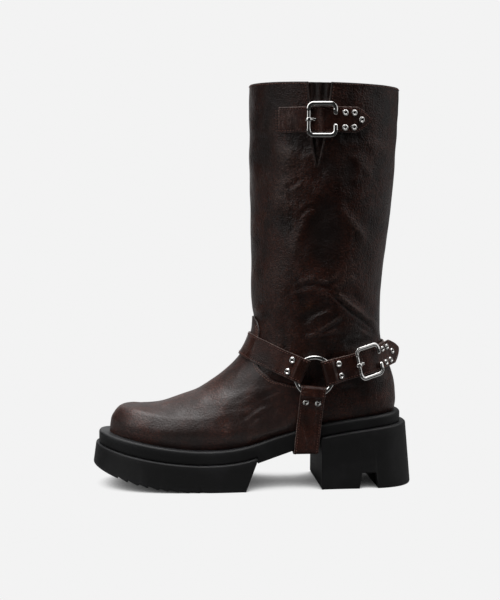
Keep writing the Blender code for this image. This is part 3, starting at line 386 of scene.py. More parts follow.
def block_loops(x_floor, x_top, floor_z):
    """Loops of a block from its tread up: rounded at the floor, slanted sides, rounded under the band."""
    both = np.concatenate([x_floor, x_floor[::-1]])
    loops, wear_and_lip_highlight = [], []
    for inset, drop in list(zip(*edge_arc(FLOOR_ROUND, 5)))[::-1]:
        loop = plan_loop(x_floor, BLOCK_FLOOR, floor_z(x_floor) + drop, inset)
        loops.append(loop)
        wear_and_lip_highlight.append(0.25)
    low = loops[-1]
    side = plan_loop(x_top, BLOCK_TOP, step_z(x_top) - GAP - BLOCK_ROUND)
    for share in np.linspace(0.0, 1.0, 8)[1:-1]:
        loops.append(low + share * (side - low))
        wear_and_lip_highlight.append(0.0)
    for inset, drop in zip(*edge_arc(BLOCK_ROUND, 6)):
        loop = plan_loop(x_top, BLOCK_TOP, step_z(x_top), inset)
        loop[:, 2] = step_z(loop[:, 0]) - GAP - drop
        loops.append(loop)
        # The block's top lip is made paler: a painted highlight, partly worn as well
        wear_and_lip_highlight.append(0.15 + 0.35 * inset / BLOCK_ROUND)
    pale_and_highlight = np.outer(wear_and_lip_highlight, wear_and_highlight_share(both)).ravel()
    return np.concatenate(loops), stack_faces(len(loops), len(both)), pale_and_highlight


steps = TOOTH_FIRST_X + TOOTH_PITCH * np.arange(TOOTH_COUNT + 1)
x_floor = stations(BLOCK_FLOOR, end=BLOCK_BACK_FLOOR_X,
                   extra=np.concatenate([steps - TOOTH_LAND, steps - 0.03, steps]))
share = (x_floor - x_floor[0]) / (x_floor[-1] - x_floor[0])
x_top = BLOCK_TOP["front_x"] + share * (BLOCK_BACK_TOP_X - BLOCK_TOP["front_x"])
points, faces, wear_and_lip_highlight = block_loops(x_floor, x_top, tread_z)
add_piece("forefoot_block", points, faces, black_rubber, ["outsole"], {"wear_and_lip_highlight": wear_and_lip_highlight})

# Heel: a tall block of the same rubber, flared to the floor, with a straight breast.
# A notch with slanted sides runs across its underside behind the middle.
NOTCH_X = (90.7, 93.0, 105.0, 107.5)
NOTCH_HIGH = 13.6


def heel_floor_z(x):
    """Underside of the heel: on the floor, and up the notch's slanted sides to its flat roof."""
    return np.interp(x, NOTCH_X, (0.0, NOTCH_HIGH, NOTCH_HIGH, 0.0))


x_floor = stations(BLOCK_FLOOR, start=BREAST_X, extra=NOTCH_X)
share = (x_floor - BREAST_X) / (x_floor[-1] - BREAST_X)
x_top = BREAST_X + share * (BLOCK_TOP["back_x"] - BREAST_X)
points, faces, wear_and_lip_highlight = block_loops(x_floor, x_top, heel_floor_z)
add_piece("heel_block", points, faces, black_rubber, ["heel"], {"wear_and_lip_highlight": wear_and_lip_highlight})

# Insole: a padded sock cut to the inside of the boot and glued down on the midsole.
# Brown woven cloth on thin foam, with a soft rounded edge.
INSOLE = dict(zip(OUTLINE_COLUMNS, (-121.3, 122.4, 0.262, 0.135, 32.6, 24.0, 2.25, 1.0, 1.0)))
INSOLE_THICK = 3.0
INSOLE_FOOT = 0.6
INSOLE_ROUND = 1.6


def woven(name, light, dark, threads):
    """Plain woven cloth: two crossed sets of threads, a little worn in clouds."""
    material, tree, shader, place = new_finish(name)
    sets = [node(tree, "ShaderNodeTexWave", {"Vector": place, "Scale": threads, "Distortion": 0.6,
                                             "Detail": 1.0}, bands_direction=way).outputs["Fac"]
            for way in ("X", "Y")]
    weave = reckon(tree, "MAXIMUM", *sets)
    cloud = spread(tree, noise(tree, place, 25.0, 4.0), 0.3, 0.7)
    shade = times(tree, weave, plus(tree, 0.5, times(tree, cloud, 0.5)))
    feed(tree, shader, mixed(tree, shade, dark, light), plus(tree, 0.75, times(tree, cloud, 0.15)))
    raised(tree, shader, weave, 0.0003, 0.6)
    return material


x = stations(INSOLE)
base = ledge_z(x) + SEAT_GAP
loops = [plan_loop(x, INSOLE, base, INSOLE_FOOT), plan_loop(x, INSOLE, base + INSOLE_FOOT)]
loops += [plan_loop(x, INSOLE, base + INSOLE_THICK - drop, inset)
          for inset, drop in zip(*edge_arc(INSOLE_ROUND, 6))]
add_piece("insole_sock", np.concatenate(loops), stack_faces(len(loops), 2 * len(x)),
          woven("insole cloth", (0.13, 0.10, 0.08, 1.0), (0.045, 0.033, 0.027, 1.0), 420.0),
          ["insole"])

# Upper: foot and tall shaft as one wall of burnished dark brown leather, lined inside.
# It is lasted onto the midsole; the outer side of the collar is slit, and its edges are stitched.
WALL = 2.0
# One row for each section, from the feather edge to the collar. Caps are shares of the section's
# length; sag and swing are shares of the sole's curves.
SECTION_COLUMNS = ("front_x", "front_z", "back_x", "back_z", "front_cap", "back_cap",
                   "front_half", "back_half", "fullness", "sag", "swing")
SECTIONS = np.array((
    (-125.6, 49.2, 126.9, 65.0, 0.262, 0.135, 36.5, 27.8, 2.25, 1.00, 1.0),
    (-124.9, 57.2, 128.0, 70.6, 0.270, 0.139, 39.8, 29.8, 2.25, 0.97, 1.0),
    (-123.0, 63.8, 128.4, 76.0, 0.280, 0.144, 41.0, 31.0, 2.25, 0.92, 1.0),
    (-116.0, 72.6, 127.9, 83.0, 0.305, 0.153, 38.7, 31.8, 2.20, 0.80, 1.0),
    (-103.4, 74.6, 127.3, 88.5, 0.341, 0.166, 37.2, 32.2, 2.15, 0.66, 1.0),
    (-84.1, 76.2, 126.1, 94.0, 0.340, 0.187, 35.4, 32.6, 2.30, 0.50, 1.0),
    (-65.0, 81.9, 124.3, 100.5, 0.395, 0.213, 34.2, 33.2, 2.12, 0.34, 1.0),
    (-45.6, 87.8, 121.9, 107.5, 0.447, 0.254, 34.0, 34.2, 2.00, 0.20, 1.0),
    (-29.3, 97.0, 118.6, 115.0, 0.476, 0.300, 34.8, 35.5, 2.00, 0.10, 0.9),
    (-15.5, 107.6, 116.3, 123.5, 0.500, 0.360, 36.3, 37.3, 2.00, 0.04, 0.8),
    (-5.6, 120.2, 114.6, 133.0, 0.510, 0.420, 39.0, 39.5, 2.00, 0.0, 0.6),
    (0.0, 134.2, 113.9, 143.0, 0.510, 0.470, 41.8, 41.8, 2.00, 0.0, 0.4),
    (0.6, 150.0, 113.9, 155.0, 0.505, 0.490, 44.2, 44.2, 2.00, 0.0, 0.2),
    (-1.6, 173.0, 115.0, 174.0, 0.500, 0.500, 46.3, 46.3, 2.00, 0.0, 0.0),
    (-1.3, 215.0, 119.1, 215.0, 0.500, 0.500, 48.8, 48.8, 2.00, 0.0, 0.0),
    (-2.6, 270.0, 124.6, 264.0, 0.500, 0.500, 52.0, 52.0, 2.00, 0.0, 0.0),
    (-3.2, 315.0, 127.9, 314.0, 0.500, 0.500, 54.0, 54.0, 2.00, 0.0, 0.0),
    (-3.0, 352.0, 129.1, 349.0, 0.500, 0.500, 55.0, 55.0, 2.00, 0.0, 0.0)))
COLLAR_LEVEL = len(SECTIONS) - 1.0
FOLD_ZONE = (10.0, 13.4)
FOOT_LEVELS, FOLD_LEVELS, SHAFT_LEVELS = 46, 76, 98
CLOSER_OUTSIDE = 0.6
UPPER_COLUMNS = 220
RIM_STEPS = 7
# The slit in columns z, front x, back x
SLIT_Z, SLIT_FRONT_X, SLIT_BACK_X = np.transpose((
    (279.5, 49.9, 50.1), (304.2, 45.6, 55.6), (335.5, 43.7, 59.5), (362.0, 41.0, 62.8)))
# Creases in the side view: width, depth (minus for a ridge), the side (-1 outer, 1 inner,
# 0 both), then the points (x, z) that the crease follows
CREASES = (
    (1.9, -1.10, -1, (29.4, 177.3), (36.8, 180.1), (45.1, 183.6), (51.9, 183.1), (59.6, 182.7),
     (66.6, 184.3), (74.6, 186.8)),
    (1.6, -0.45, -1, (63.1, 185.2), (67.4, 187.3), (71.8, 189.4)),
    (2.6, 0.80, -1, (33.5, 176.6), (43.5, 179.7), (51.9, 179.7), (59.7, 177.1), (64.1, 173.2)),
    (1.5, 1.70, -1, (62.4, 173.6), (68.7, 167.0), (76.0, 160.8), (83.5, 154.4), (91.3, 148.7),
     (98.5, 143.3), (109.8, 131.8)),
    (2.3, -1.50, -1, (65.4, 174.4), (72.8, 167.8), (80.2, 161.5), (88.8, 155.4), (96.9, 149.6),
     (103.3, 145.0), (109.0, 138.9)),
    (2.4, -0.80, -1, (65.0, 174.9), (70.2, 178.7), (77.4, 182.4), (85.6, 185.6)),
    (3.0, 0.60, -1, (78.4, 174.6), (88.9, 165.9), (98.1, 157.9)),
    (3.0, -0.80, -1, (27.0, 169.1), (36.0, 172.3), (46.9, 174.1), (55.5, 171.1), (63.4, 165.4)),
    (4.4, 1.50, -1, (35.7, 145.3), (47.3, 153.3), (57.4, 159.4), (66.1, 163.2)),
    (1.5, -0.60, -1, (44.9, 148.1), (54.1, 152.9), (63.6, 156.7)),
    (1.7, -1.25, -1, (51.1, 138.0), (58.8, 141.9), (65.6, 146.2), (73.5, 152.6)),
    (1.7, 1.00, -1, (53.7, 136.0), (61.4, 139.5), (68.4, 143.3), (76.3, 149.2)),
    (1.7, -0.80, -1, (39.3, 132.6), (50.3, 135.8), (61.5, 137.9), (71.1, 140.3)),
    (1.9, 0.70, -1, (48.7, 133.1), (63.3, 135.2), (77.6, 136.6)),
    (5.5, 2.30, -1, (75.0, 125.0), (85.0, 127.0), (96.0, 128.5), (108.0, 130.5)),
    (2.0, 1.00, -1, (88.6, 142.7), (99.7, 137.0), (111.1, 131.1)),
    (2.8, -0.50, -1, (81.0, 144.0), (90.6, 138.2), (101.8, 132.0)),
    (2.2, 0.60, -1, (14.1, 164.6), (10.3, 155.4), (6.6, 145.2)),
    (1.1, -0.55, -1, (35.9, 285.8), (41.6, 287.9), (46.9, 290.4)),
    (5.0, 0.70, -1, (35.9, 291.0), (40.7, 296.6), (44.8, 301.6)),
    (1.5, 0.90, -1, (23.9, 261.2), (29.6, 263.5), (33.6, 266.9), (36.8, 269.8)),
    (1.7, -0.55, -1, (28.0, 259.8), (33.6, 262.7), (38.5, 266.9)),
    (1.3, 0.60, -1, (27.8, 255.9), (28.3, 248.3)),
    (1.7, -0.50, -1, (24.8, 252.5), (27.3, 242.3)),
    (1.5, -0.70, -1, (32.2, 239.8), (37.1, 244.1), (41.1, 247.0), (46.1, 248.7), (50.3, 249.2)),
    (1.6, 0.60, -1, (33.8, 237.5), (38.7, 241.8), (42.8, 244.3), (48.6, 246.0)),
    (4.5, -1.30, -1, (51.1, 248.3), (41.3, 233.9), (34.0, 217.7), (31.7, 202.3)),
    (4.0, -1.40, -1, (67.3, 252.5), (75.4, 238.1), (84.7, 228.7), (93.5, 215.7)),
    (15.0, 1.60, -1, (57.0, 258.0), (59.0, 225.0), (62.0, 188.0)),
    (9.0, 0.90, -1, (84.0, 300.0), (81.0, 278.0), (78.0, 252.0)),
    (7.0, 1.20, -1, (8.0, 312.0), (6.0, 276.0)),
    (3.4, -1.30, -1, (79.0, 291.3), (85.4, 281.3), (85.6, 272.0), (79.4, 264.4)),
    (2.2, -0.70, -1, (85.5, 232.1), (92.8, 240.6), (100.3, 250.0)),
    (4.0, -1.10, -1, (83.4, 293.9), (90.9, 281.4), (96.8, 270.4)),
    (2.0, 0.50, -1, (89.6, 255.9), (98.9, 263.6), (108.9, 268.0)),
    (9.0, -1.70, -1, (26.1, 300.7), (24.6, 281.3), (20.7, 260.2), (19.3, 238.9)),
    (4.5, 0.60, -1, (62.0, 288.0), (54.2, 275.3), (48.0, 262.0)),
    (4.0, 1.30, -1, (69.0, 303.5), (79.0, 304.0), (88.0, 306.0)),
    (9.0, 1.50, -1, (-107.2, 65.2), (-78.7, 64.3), (-50.1, 66.5), (-26.7, 73.3)),
    (2.0, 0.50, -1, (-13.1, 61.5), (-7.8, 64.4), (0.1, 70.3), (10.6, 74.9)),
    (2.4, -0.30, -1, (-10.5, 58.6), (-5.2, 61.9), (2.7, 67.8), (13.2, 72.4)),
    (1.8, 0.60, -1, (-6.2, 55.4), (-2.6, 60.9), (2.7, 65.5)),
    (1.8, 0.55, -1, (5.4, 79.3), (14.1, 84.0), (23.7, 86.1)),
    (1.8, 0.50, -1, (-17.2, 75.0), (-11.0, 80.1), (-3.2, 84.4)),
    (3.4, -1.50, -1, (-8.7, 45.7), (5.3, 49.7), (21.1, 54.5), (32.5, 58.7)),
    (1.7, 0.80, -1, (75.4, 86.8), (80.7, 88.1), (86.9, 87.6)),
    (4.4, 1.3, 1, (30.0, 172.0), (58.0, 165.0), (92.0, 158.0)),
    (5.0, -1.1, 1, (28.0, 181.0), (60.0, 174.0), (94.0, 168.0)),
    (4.0, 1.5, 1, (60.0, 152.0), (88.0, 143.0), (108.0, 132.0)),
    (3.2, -0.9, 1, (42.0, 143.0), (58.0, 150.0)),
    (3.0, 0.9, 1, (26.0, 262.0), (44.0, 256.0)),
    (13.0, 1.2, 1, (60.0, 245.0), (62.0, 205.0)),
    (9.0, 1.5, 1, (-107.2, 65.2), (-78.7, 64.3), (-50.1, 66.5), (-26.7, 73.3)),
    (4.0, 1.0, 0, (0.0, 146.0), (16.0, 150.0)),
    (4.0, -0.8, 0, (0.0, 154.0), (16.0, 158.0)),
)
# Places where the dye has gone rusty: middle in x and z on the outer side, reach along x and z
RUSTY_SPOTS = (
    (5.0, 248.0, 9.0, 18.0), (5.0, 181.0, 7.0, 18.0), (42.0, 160.0, 9.0, 8.0), (-22.0, 96.0, 8.0, 7.0))
# Spots of painted shade, where the leather lies in shade, in the same columns
PAINTED_SHADE_SPOTS = (
    (7.0, 305.0, 11.0, 38.0), (81.0, 275.0, 8.0, 13.0), (61.0, 226.0, 17.0, 24.0), (59.0, 274.0, 11.0, 11.0),
    (42.0, 297.0, 8.0, 10.0), (80.0, 304.0, 14.0, 6.0), (52.0, 153.0, 13.0, 7.0), (94.0, 132.0, 14.0, 6.0),
    (24.0, 342.0, 18.0, 12.0), (-118.0, 60.0, 9.0, 12.0), (12.0, 56.0, 24.0, 7.0))
STRAP_ZONES = ((70.0, 128.0), (305.0, 334.0))
STRAP_ZONE_EASE = 8.0
CREASE_STEPS = 40
SIDE_EASE = 14.0
SPOT_SIDE_EASE = 10.0
BEAD_CLEAR_BELOW, BEAD_CLEAR_ABOVE, BEAD_EASE = 3.0, 1.0, 4.0
STITCH_RINGS, STITCH_SIDES = 5, 6
BEAD_HIGH, BEAD_INSET, BEAD_REACH = 0.75, 0.7, 0.75
SLIT_FOOT_LEVEL, SEAM_LEVEL = 15.0, 15.2
SLIT_PALE = 2.2
HEM_DARK_REACH = 5.0
INSIDE_DARK = 0.6
HEM_LEVEL = 16.955
HEM_CLEAR_U = 0.012
SLIT_STITCH_LEVEL = 16.42
SLIT_STITCH_U = 0.013
SLACK_SEED = 11
SLACK_WAVES = 28
SLACK_LENGTHS = (14.0, 64.0)
SLACK_SLOPE = 0.0024


def section(v):
    """Columns of the section table at level v, counted in rows from the feather edge."""
    levels = np.arange(len(SECTIONS))
    return {name: curve_through(levels, SECTIONS[:, k], v) for k, name in enumerate(SECTION_COLUMNS)}


def upper_point(u, v):
    """Outer surface of the upper. u runs -1..1 round from the heel along the outer side, over the front
    at 0 and back along the inner side; v runs up through the sections. x goes along each section's
    chord with round ends, y is its outline there and z its chord line with a share of the ledge's sag."""
    row = section(v)
    chord = row["back_x"] - row["front_x"]
    front = row["front_cap"]
    back = np.minimum(row["back_cap"], 1.0 - front)
    row["back_cap"] = back
    away = np.abs(u)
    front_turn = np.clip(away / front, 0.0, 1.0) * math.pi / 2
    back_turn = np.clip((1.0 - away) / back, 0.0, 1.0) * math.pi / 2
    x_front = row["front_x"] + front * chord * (1.0 - np.cos(front_turn))
    x_back = row["back_x"] - back * chord * (1.0 - np.cos(back_turn))
    x_middle = row["front_x"] + away * chord
    x = np.where(away < front, x_front, np.where(away > 1.0 - back, x_back, x_middle))
    y = side_y(x, np.sign(u), row)
    base = SECTIONS[0]
    base_line = base[1] + (base[3] - base[1]) * (x - base[0]) / (base[2] - base[0])
    chord_line = row["front_z"] + (row["back_z"] - row["front_z"]) * (x - row["front_x"]) / chord
    z = chord_line + row["sag"] * (ledge_z(x) - base_line)
    return np.stack(np.broadcast_arrays(x, y, z), axis=-1)


def wrapped(u):
    """u brought back into -1..1 after it has passed the heel."""
    return (u + 1.0) % 2.0 - 1.0


def surface_normals(u, v):
    """Outward unit normals of the upper's surface, from small steps in u and v."""
    small = 0.006
    across = upper_point(wrapped(u - small), v) - upper_point(wrapped(u + small), v)
    up = upper_point(u, np.minimum(v + small, COLLAR_LEVEL)) - upper_point(u, np.maximum(v - small, 0.0))
    return unit(np.cross(across, up))


def slit_u(v, x_table):
    """u of one edge of the slit at level v, from its x at that height on the shaft's round sections."""
    row = section(v)
    chord = row["back_x"] - row["front_x"]
    z = row["front_z"] + (row["back_z"] - row["front_z"]) * (SLIT_FRONT_X[0] - row["front_x"]) / chord
    x = np.where(z > SLIT_Z[0], np.interp(z, SLIT_Z, x_table), (SLIT_FRONT_X[0] + SLIT_BACK_X[0]) / 2)
    share = np.clip((x - row["front_x"]) / chord, 0.0, 1.0)
    return -np.arccos(1.0 - 2.0 * share) / math.pi


def crease_depth(points):
    """How far creases push a place inwards: for each crease a soft bell across its distance in the
    side view, fading over its ends, on its own side of the boot only."""
    flat = points[..., (0, 2)].reshape(-1, 2)
    y = points[..., 1].reshape(-1)
    depth = np.zeros(len(flat))
    for width, deep, side, *path in CREASES:
        path = np.array(path)
        knots = np.linspace(0.0, 1.0, len(path))
        t = np.linspace(0.0, 1.0, CREASE_STEPS)
        way = np.stack([curve_through(knots, path[:, k], t) for k in (0, 1)], axis=1)
        reach = np.ptp(way, axis=0) / 2 + 4 * width
        near = np.flatnonzero((np.abs(flat - way.mean(axis=0)) < reach).all(axis=1))
        gap = np.linalg.norm(flat[near, None, :] - way[None], axis=2)
        nearest = np.argmin(gap, axis=1)
        ends = smooth(4.0 * t[nearest] + 0.15) * smooth(4.0 * (1.0 - t[nearest]) + 0.15)
        on_side = smooth(side * y[near] / SIDE_EASE) if side else 1.0
        depth[near] += deep * np.exp(-((gap.min(axis=1) / width) ** 2)) * ends * on_side
    return depth.reshape(points.shape[:-1])


def spot_share(points, spots):
    """How far a place lies within spots of the outer side: a soft bell about the middle of each."""
    x, y, z = (points[..., k] for k in range(3))
    bells = [np.exp(-(((x - spot_x) / reach_x) ** 2) - ((z - spot_z) / reach_z) ** 2)
             for spot_x, spot_z, reach_x, reach_z in spots]
    return np.clip(sum(bells), 0.0, 1.0) * smooth(-y / SPOT_SIDE_EASE)


def slack(points):
    """Gentle unevenness of worked leather: a sum of plane waves of many lengths and directions."""
    dice = np.random.default_rng(SLACK_SEED)
    depth = np.zeros(points.shape[:-1])
    for length in np.geomspace(*SLACK_LENGTHS, SLACK_WAVES):
        way = unit(dice.normal(size=3))
        depth += SLACK_SLOPE * length * np.cos(2 * math.pi * (points @ way / length + dice.uniform()))
    return depth


def creased(points):
    """Crease depth and slack, with ridges held down where straps lie."""
    depth = crease_depth(points) + slack(points)
    z = points[..., 2]
    free = np.ones_like(z)
    for low, high in STRAP_ZONES:
        over, under = z - low + STRAP_ZONE_EASE, high + STRAP_ZONE_EASE - z
        free *= 1.0 - smooth(over / STRAP_ZONE_EASE) * smooth(under / STRAP_ZONE_EASE)
    return np.where(depth < 0.0, depth * free, depth)


def walked(points, axis=0):
    """Distance from point to point along an axis of a grid, summed up from 0."""
    steps = np.linalg.norm(np.diff(points, axis=axis), axis=-1)
    return np.concatenate([np.zeros_like(steps.take([0], axis)), np.cumsum(steps, axis=axis)], axis=axis)


def slit_bead(points):
    """Height of the turned edges of the slit: a narrow bell across the distance from each end of a row,
    flat where the calf strap lies."""
    along = walked(points, 1)
    away = np.minimum(along, along[:, -1:] - along)
    low, high = STRAP_ZONES[1]
    z = points[..., 2]
    over, under = z - low + BEAD_CLEAR_BELOW, high + BEAD_CLEAR_ABOVE - z
    free = 1.0 - smooth(over / BEAD_EASE) * smooth(under / BEAD_EASE)
    return BEAD_HIGH * np.exp(-(((away - BEAD_INSET) / BEAD_REACH) ** 2)) * free


def burnished_hide():
    """Node group of burnished leather: two browns mottled in clouds, patches and slanted streaks, rust, pale
    veins, a painted highlight on ridges, painted shade in troughs, darker edges and spots of painted shade,
    and a pebbled grain; with its roughness and its relief."""
    tree, takes, gives = effect(
        "burnished hide",
        [("Place", "Vector"), ("Base", "Color"), ("Burnish and shade", "Color"), ("Rust", "Color"), ("Pale and highlight", "Color"),
         ("Fold", "Float"), ("Edge", "Float"), ("Rusty", "Float"), ("Pebble", "Float"), ("Dull", "Float")],
        [("Colour", "Color"), ("Roughness", "Float"), ("Height", "Float")])
    place, burnish_and_shade, pale_and_highlight = (takes[label] for label in ("Place", "Burnish and shade", "Pale and highlight"))
    cloud = noise(tree, place, 13.0, 3.0)
    patch = noise(tree, place, 46.0, 4.0, 0.5)
    slant = {"Vector": place, "Rotation": (0.2, 0.5, 0.1), "Scale": (1.0, 1.0, 0.3)}
    slanted = node(tree, "ShaderNodeMapping", slant).outputs[0]
    streak = noise(tree, slanted, 90.0, 4.0, 0.6)
    mottle = weighed(tree, (cloud, 0.35), (patch, 0.35), (streak, 0.30))
    colour = mixed(tree, spread(tree, mottle, 0.40, 0.545), burnish_and_shade, takes["Base"])
    shifted = node(tree, "ShaderNodeVectorMath", {0: place, 1: (0.31, 0.17, 0.43)}, operation="ADD")
    rusty = spread(tree, noise(tree, shifted.outputs[0], 21.0, 5.0, 0.6), 0.48, 0.70)
    rusty = times(tree, rusty, plus(tree, 0.14, takes["Rusty"]), clamp=True)
    colour = mixed(tree, rusty, colour, takes["Rust"])
    band = reckon(tree, "ABSOLUTE", reckon(tree, "SUBTRACT", noise(tree, slanted, 34.0, 5.0), 0.5))
    vein = times(tree, spread(tree, band, 0.0, 0.016, 1.0, 0.0), spread(tree, patch, 0.42, 0.60))
    # Fold mark: below zero a painted highlight (crease ridges, cut and slit edges, puckers), above zero
    # painted shade (crease troughs, hollows)
    ridge = times(tree, takes["Fold"], -0.45, clamp=True)
    trough = times(tree, takes["Fold"], 0.42, clamp=True)
    grain = {"Vector": place, "Scale": takes["Pebble"]}
    cells = node(tree, "ShaderNodeTexVoronoi", grain, feature="SMOOTH_F1").outputs["Distance"]
    pebble = spread(tree, cells, 0.15, 0.65, 1.0, 0.0)
    pits = times(tree, reckon(tree, "SUBTRACT", 1.0, pebble), 0.3)
    cell_colour = node(tree, "ShaderNodeTexVoronoi", grain).outputs["Color"]
    tint = node(tree, "ShaderNodeSeparateColor", {0: cell_colour})
    fine = noise(tree, place, 1900.0, 2.0)
    # Pale colour on veins and as a painted highlight on ridges; dark colour as painted shade in troughs,
    # shade spots and the pinhole's dish, and as darker edges, grain cells and pits
    for share, shade in ((times(tree, vein, 0.42), pale_and_highlight), (ridge, pale_and_highlight), (trough, burnish_and_shade),
                         (times(tree, takes["Edge"], 0.7), burnish_and_shade),
                         (times(tree, tint.outputs[0], 0.90), burnish_and_shade), (pits, burnish_and_shade)):
        colour = mixed(tree, share, colour, shade)
    rough = plus(tree, takes["Dull"], weighed(tree, (streak, 0.22), (pits, 0.3), (trough, 0.12)))
    relief = weighed(tree, (patch, 1.1), (streak, 0.6), (pebble, 0.13), (fine, 0.12), (vein, -0.09))
    for value, label in ((colour, "Colour"), (rough, "Roughness"), (relief, "Height")):
        tree.links.new(value, gives[label])
    return tree


hide_look = burnished_hide()


def leather_finish(name, base, burnish_and_shade, rust, pale_and_highlight, pebble, relief, gloss, dull=0.17):
    """Burnished leather with its own colours, pebble size, relief, gloss and dullness."""
    material, tree, shader, place = new_finish(name)
    inputs = {"Place": place, "Base": (*base, 1.0), "Burnish and shade": (*burnish_and_shade, 1.0), "Rust": (*rust, 1.0),
              "Pale and highlight": (*pale_and_highlight, 1.0), "Fold": mark_value(tree, "fold"), "Edge": mark_value(tree, "edge"),
              "Rusty": mark_value(tree, "rust"), "Pebble": pebble, "Dull": dull}
    hide = node(tree, "ShaderNodeGroup", inputs, node_tree=hide_look)
    feed(tree, shader, hide.outputs["Colour"], hide.outputs["Roughness"])
    shader.inputs["Specular IOR Level"].default_value = gloss
    raised(tree, shader, hide.outputs["Height"], 0.0016, relief)
    return material


def read_off(at, length, line):
    """Columns of a line of points, read off at distances along it."""
    return np.stack([np.interp(at, length, line[:, k]) for k in range(3)], axis=-1)


def stitch_run(path, normals, pitch, long, thick):
    """Stitches along a path on a surface: at even steps a short thread, bowed up in its middle and sunk
    at its ends, as rings of points round a small arc. Returns points and faces."""
    length = walked(path)
    at = np.arange(pitch / 2, length[-1] - pitch / 4, pitch)
    spot, up, ahead = (read_off(at, length, line) for line in (path, normals, np.gradient(path, axis=0)))
    ahead = unit(ahead)
    up = unit(up - np.sum(up * ahead, axis=1, keepdims=True) * ahead)
    aside = np.cross(up, ahead)
    t = np.linspace(-1.0, 1.0, STITCH_RINGS)[:, None]
    turn = np.linspace(0.0, 2 * math.pi, STITCH_SIDES, endpoint=False)[None, :]
    girth = thick / 2 * np.sqrt(np.clip(1.06 - t**2, 0.0, 1.0))
    forward = t * long / 2 + 0.0 * turn
    sideways = girth * np.cos(turn)
    rise = thick * (0.30 - 0.55 * t**2) + girth * np.sin(turn)
    parts = [amount.reshape(1, -1, 1) * way[:, None, :]
             for amount, way in ((forward, ahead), (sideways, aside), (rise, up))]
    points = spot[:, None, :] + sum(parts)
    size = STITCH_RINGS * STITCH_SIDES
    one = np.array(grid_faces(STITCH_RINGS, STITCH_SIDES, round_columns=True))
    ends = np.stack([np.arange(STITCH_SIDES), np.arange(size - STITCH_SIDES, size)])
    firsts = size * np.arange(len(at))[:, None, None]
    faces = (one + firsts).reshape(-1, 4).tolist() + (ends + firsts).reshape(-1, STITCH_SIDES).tolist()
    return points.reshape(-1, 3), faces


def add_stitches(name, runs, finish, pitch=2.4, long=1.6, thick=0.62):
    """One piece from several runs of stitches, each a path with its normals."""
    points, faces, first = [], [], 0
    for path, normals in runs:
        some, quads = stitch_run(path, normals, pitch, long, thick)
        faces += [[first + index for index in face] for face in quads]
        points.append(some)
        first += len(some)
    add_piece(name, np.concatenate(points), faces, finish)


def thread_finish(name, colour, shade):
    """Waxed sewing thread: twisted strands, a little darker in places."""
    material, tree, shader, place = new_finish(name)
    twist = node(tree, "ShaderNodeTexWave", {"Vector": place, "Scale": 900.0, "Distortion": 1.0},
                 bands_direction="DIAGONAL").outputs["Fac"]
    dirt = spread(tree, noise(tree, place, 60.0, 3.0), 0.35, 0.65)
    rough = plus(tree, 0.5, times(tree, twist, 0.2))
    feed(tree, shader, mixed(tree, times(tree, dirt, 0.7), colour, shade), rough)
    raised(tree, shader, twist, 0.0002, 0.5)
    return material


shaft_leather = leather_finish(
    "burnished shaft leather", base=(0.062, 0.0175, 0.0100), burnish_and_shade=(0.0085, 0.0033, 0.0022),
    rust=(0.105, 0.031, 0.009), pale_and_highlight=(0.095, 0.060, 0.050), pebble=800.0, relief=1.0, gloss=0.34)
dark_thread = thread_finish("dark brown thread", (0.175, 0.062, 0.042, 1.0), (0.080, 0.030, 0.021, 1.0))
v = np.concatenate([np.linspace(0.0, FOLD_ZONE[0], FOOT_LEVELS, endpoint=False),
                    np.linspace(*FOLD_ZONE, FOLD_LEVELS, endpoint=False),
                    np.linspace(FOLD_ZONE[1], COLLAR_LEVEL, SHAFT_LEVELS)])[:, None]
slit_front, slit_back = slit_u(v, SLIT_FRONT_X), slit_u(v, SLIT_BACK_X)
seam_u = float(slit_u(np.array([[SEAM_LEVEL]]), SLIT_FRONT_X)[0, 0])
below = v < SLIT_FOOT_LEVEL
slit_front, slit_back = np.where(below, seam_u, slit_front), np.where(below, seam_u, slit_back)
is_open = (slit_front - slit_back)[:, 0] > 1e-4
middle_u = (slit_front + slit_back) / 2
slit_front = np.where(is_open[:, None], slit_front, middle_u)
slit_back = np.where(is_open[:, None], slit_back, middle_u)
t = np.linspace(0.0, 1.0, UPPER_COLUMNS)[None, :]
round_share = t - CLOSER_OUTSIDE * np.sin(2 * math.pi * t) / (2 * math.pi)
u = wrapped(slit_front + round_share * (slit_back + 2.0 - slit_front))
smooth_upper = upper_point(u, v)
smooth_upper[0, :, 2] += SEAT_GAP
normals = surface_normals(u, v)
normals[0, :, 2] = 0.0
fold = creased(smooth_upper)
outer = smooth_upper + (slit_bead(smooth_upper) * is_open[:, None] - fold)[..., None] * normals
outer[-1, :, 2] -= WALL / 2
inner = outer - WALL * normals
inner[-1, :, 2] = outer[-1, :, 2]
inner[0, :, 2] = outer[0, :, 2]
turn = np.linspace(0.0, math.pi, RIM_STEPS)[1:-1, None, None]
middle, half = (outer[-1] + inner[-1]) / 2, (outer[-1] - inner[-1]) / 2
rim = middle + half * np.cos(turn) + WALL / 2 * np.sin(turn) * np.array([0.0, 0.0, 1.0])
wall = np.concatenate([outer, rim, inner[::-1]])
levels, columns = len(v), UPPER_COLUMNS
faces = grid_faces(len(wall), columns, round_rows=True)
first_open = int(np.argmax(is_open)) - 1
rows = np.arange(first_open, levels - 1)
across = len(wall) - 1
for column in (0, columns - 1):
    edge = np.stack([rows, rows + 1, across - rows - 1, across - rows], axis=1) * columns + column
    faces += edge.tolist()
    faces.append(((np.arange(levels - 1, levels + RIM_STEPS - 1)) * columns + column).tolist())
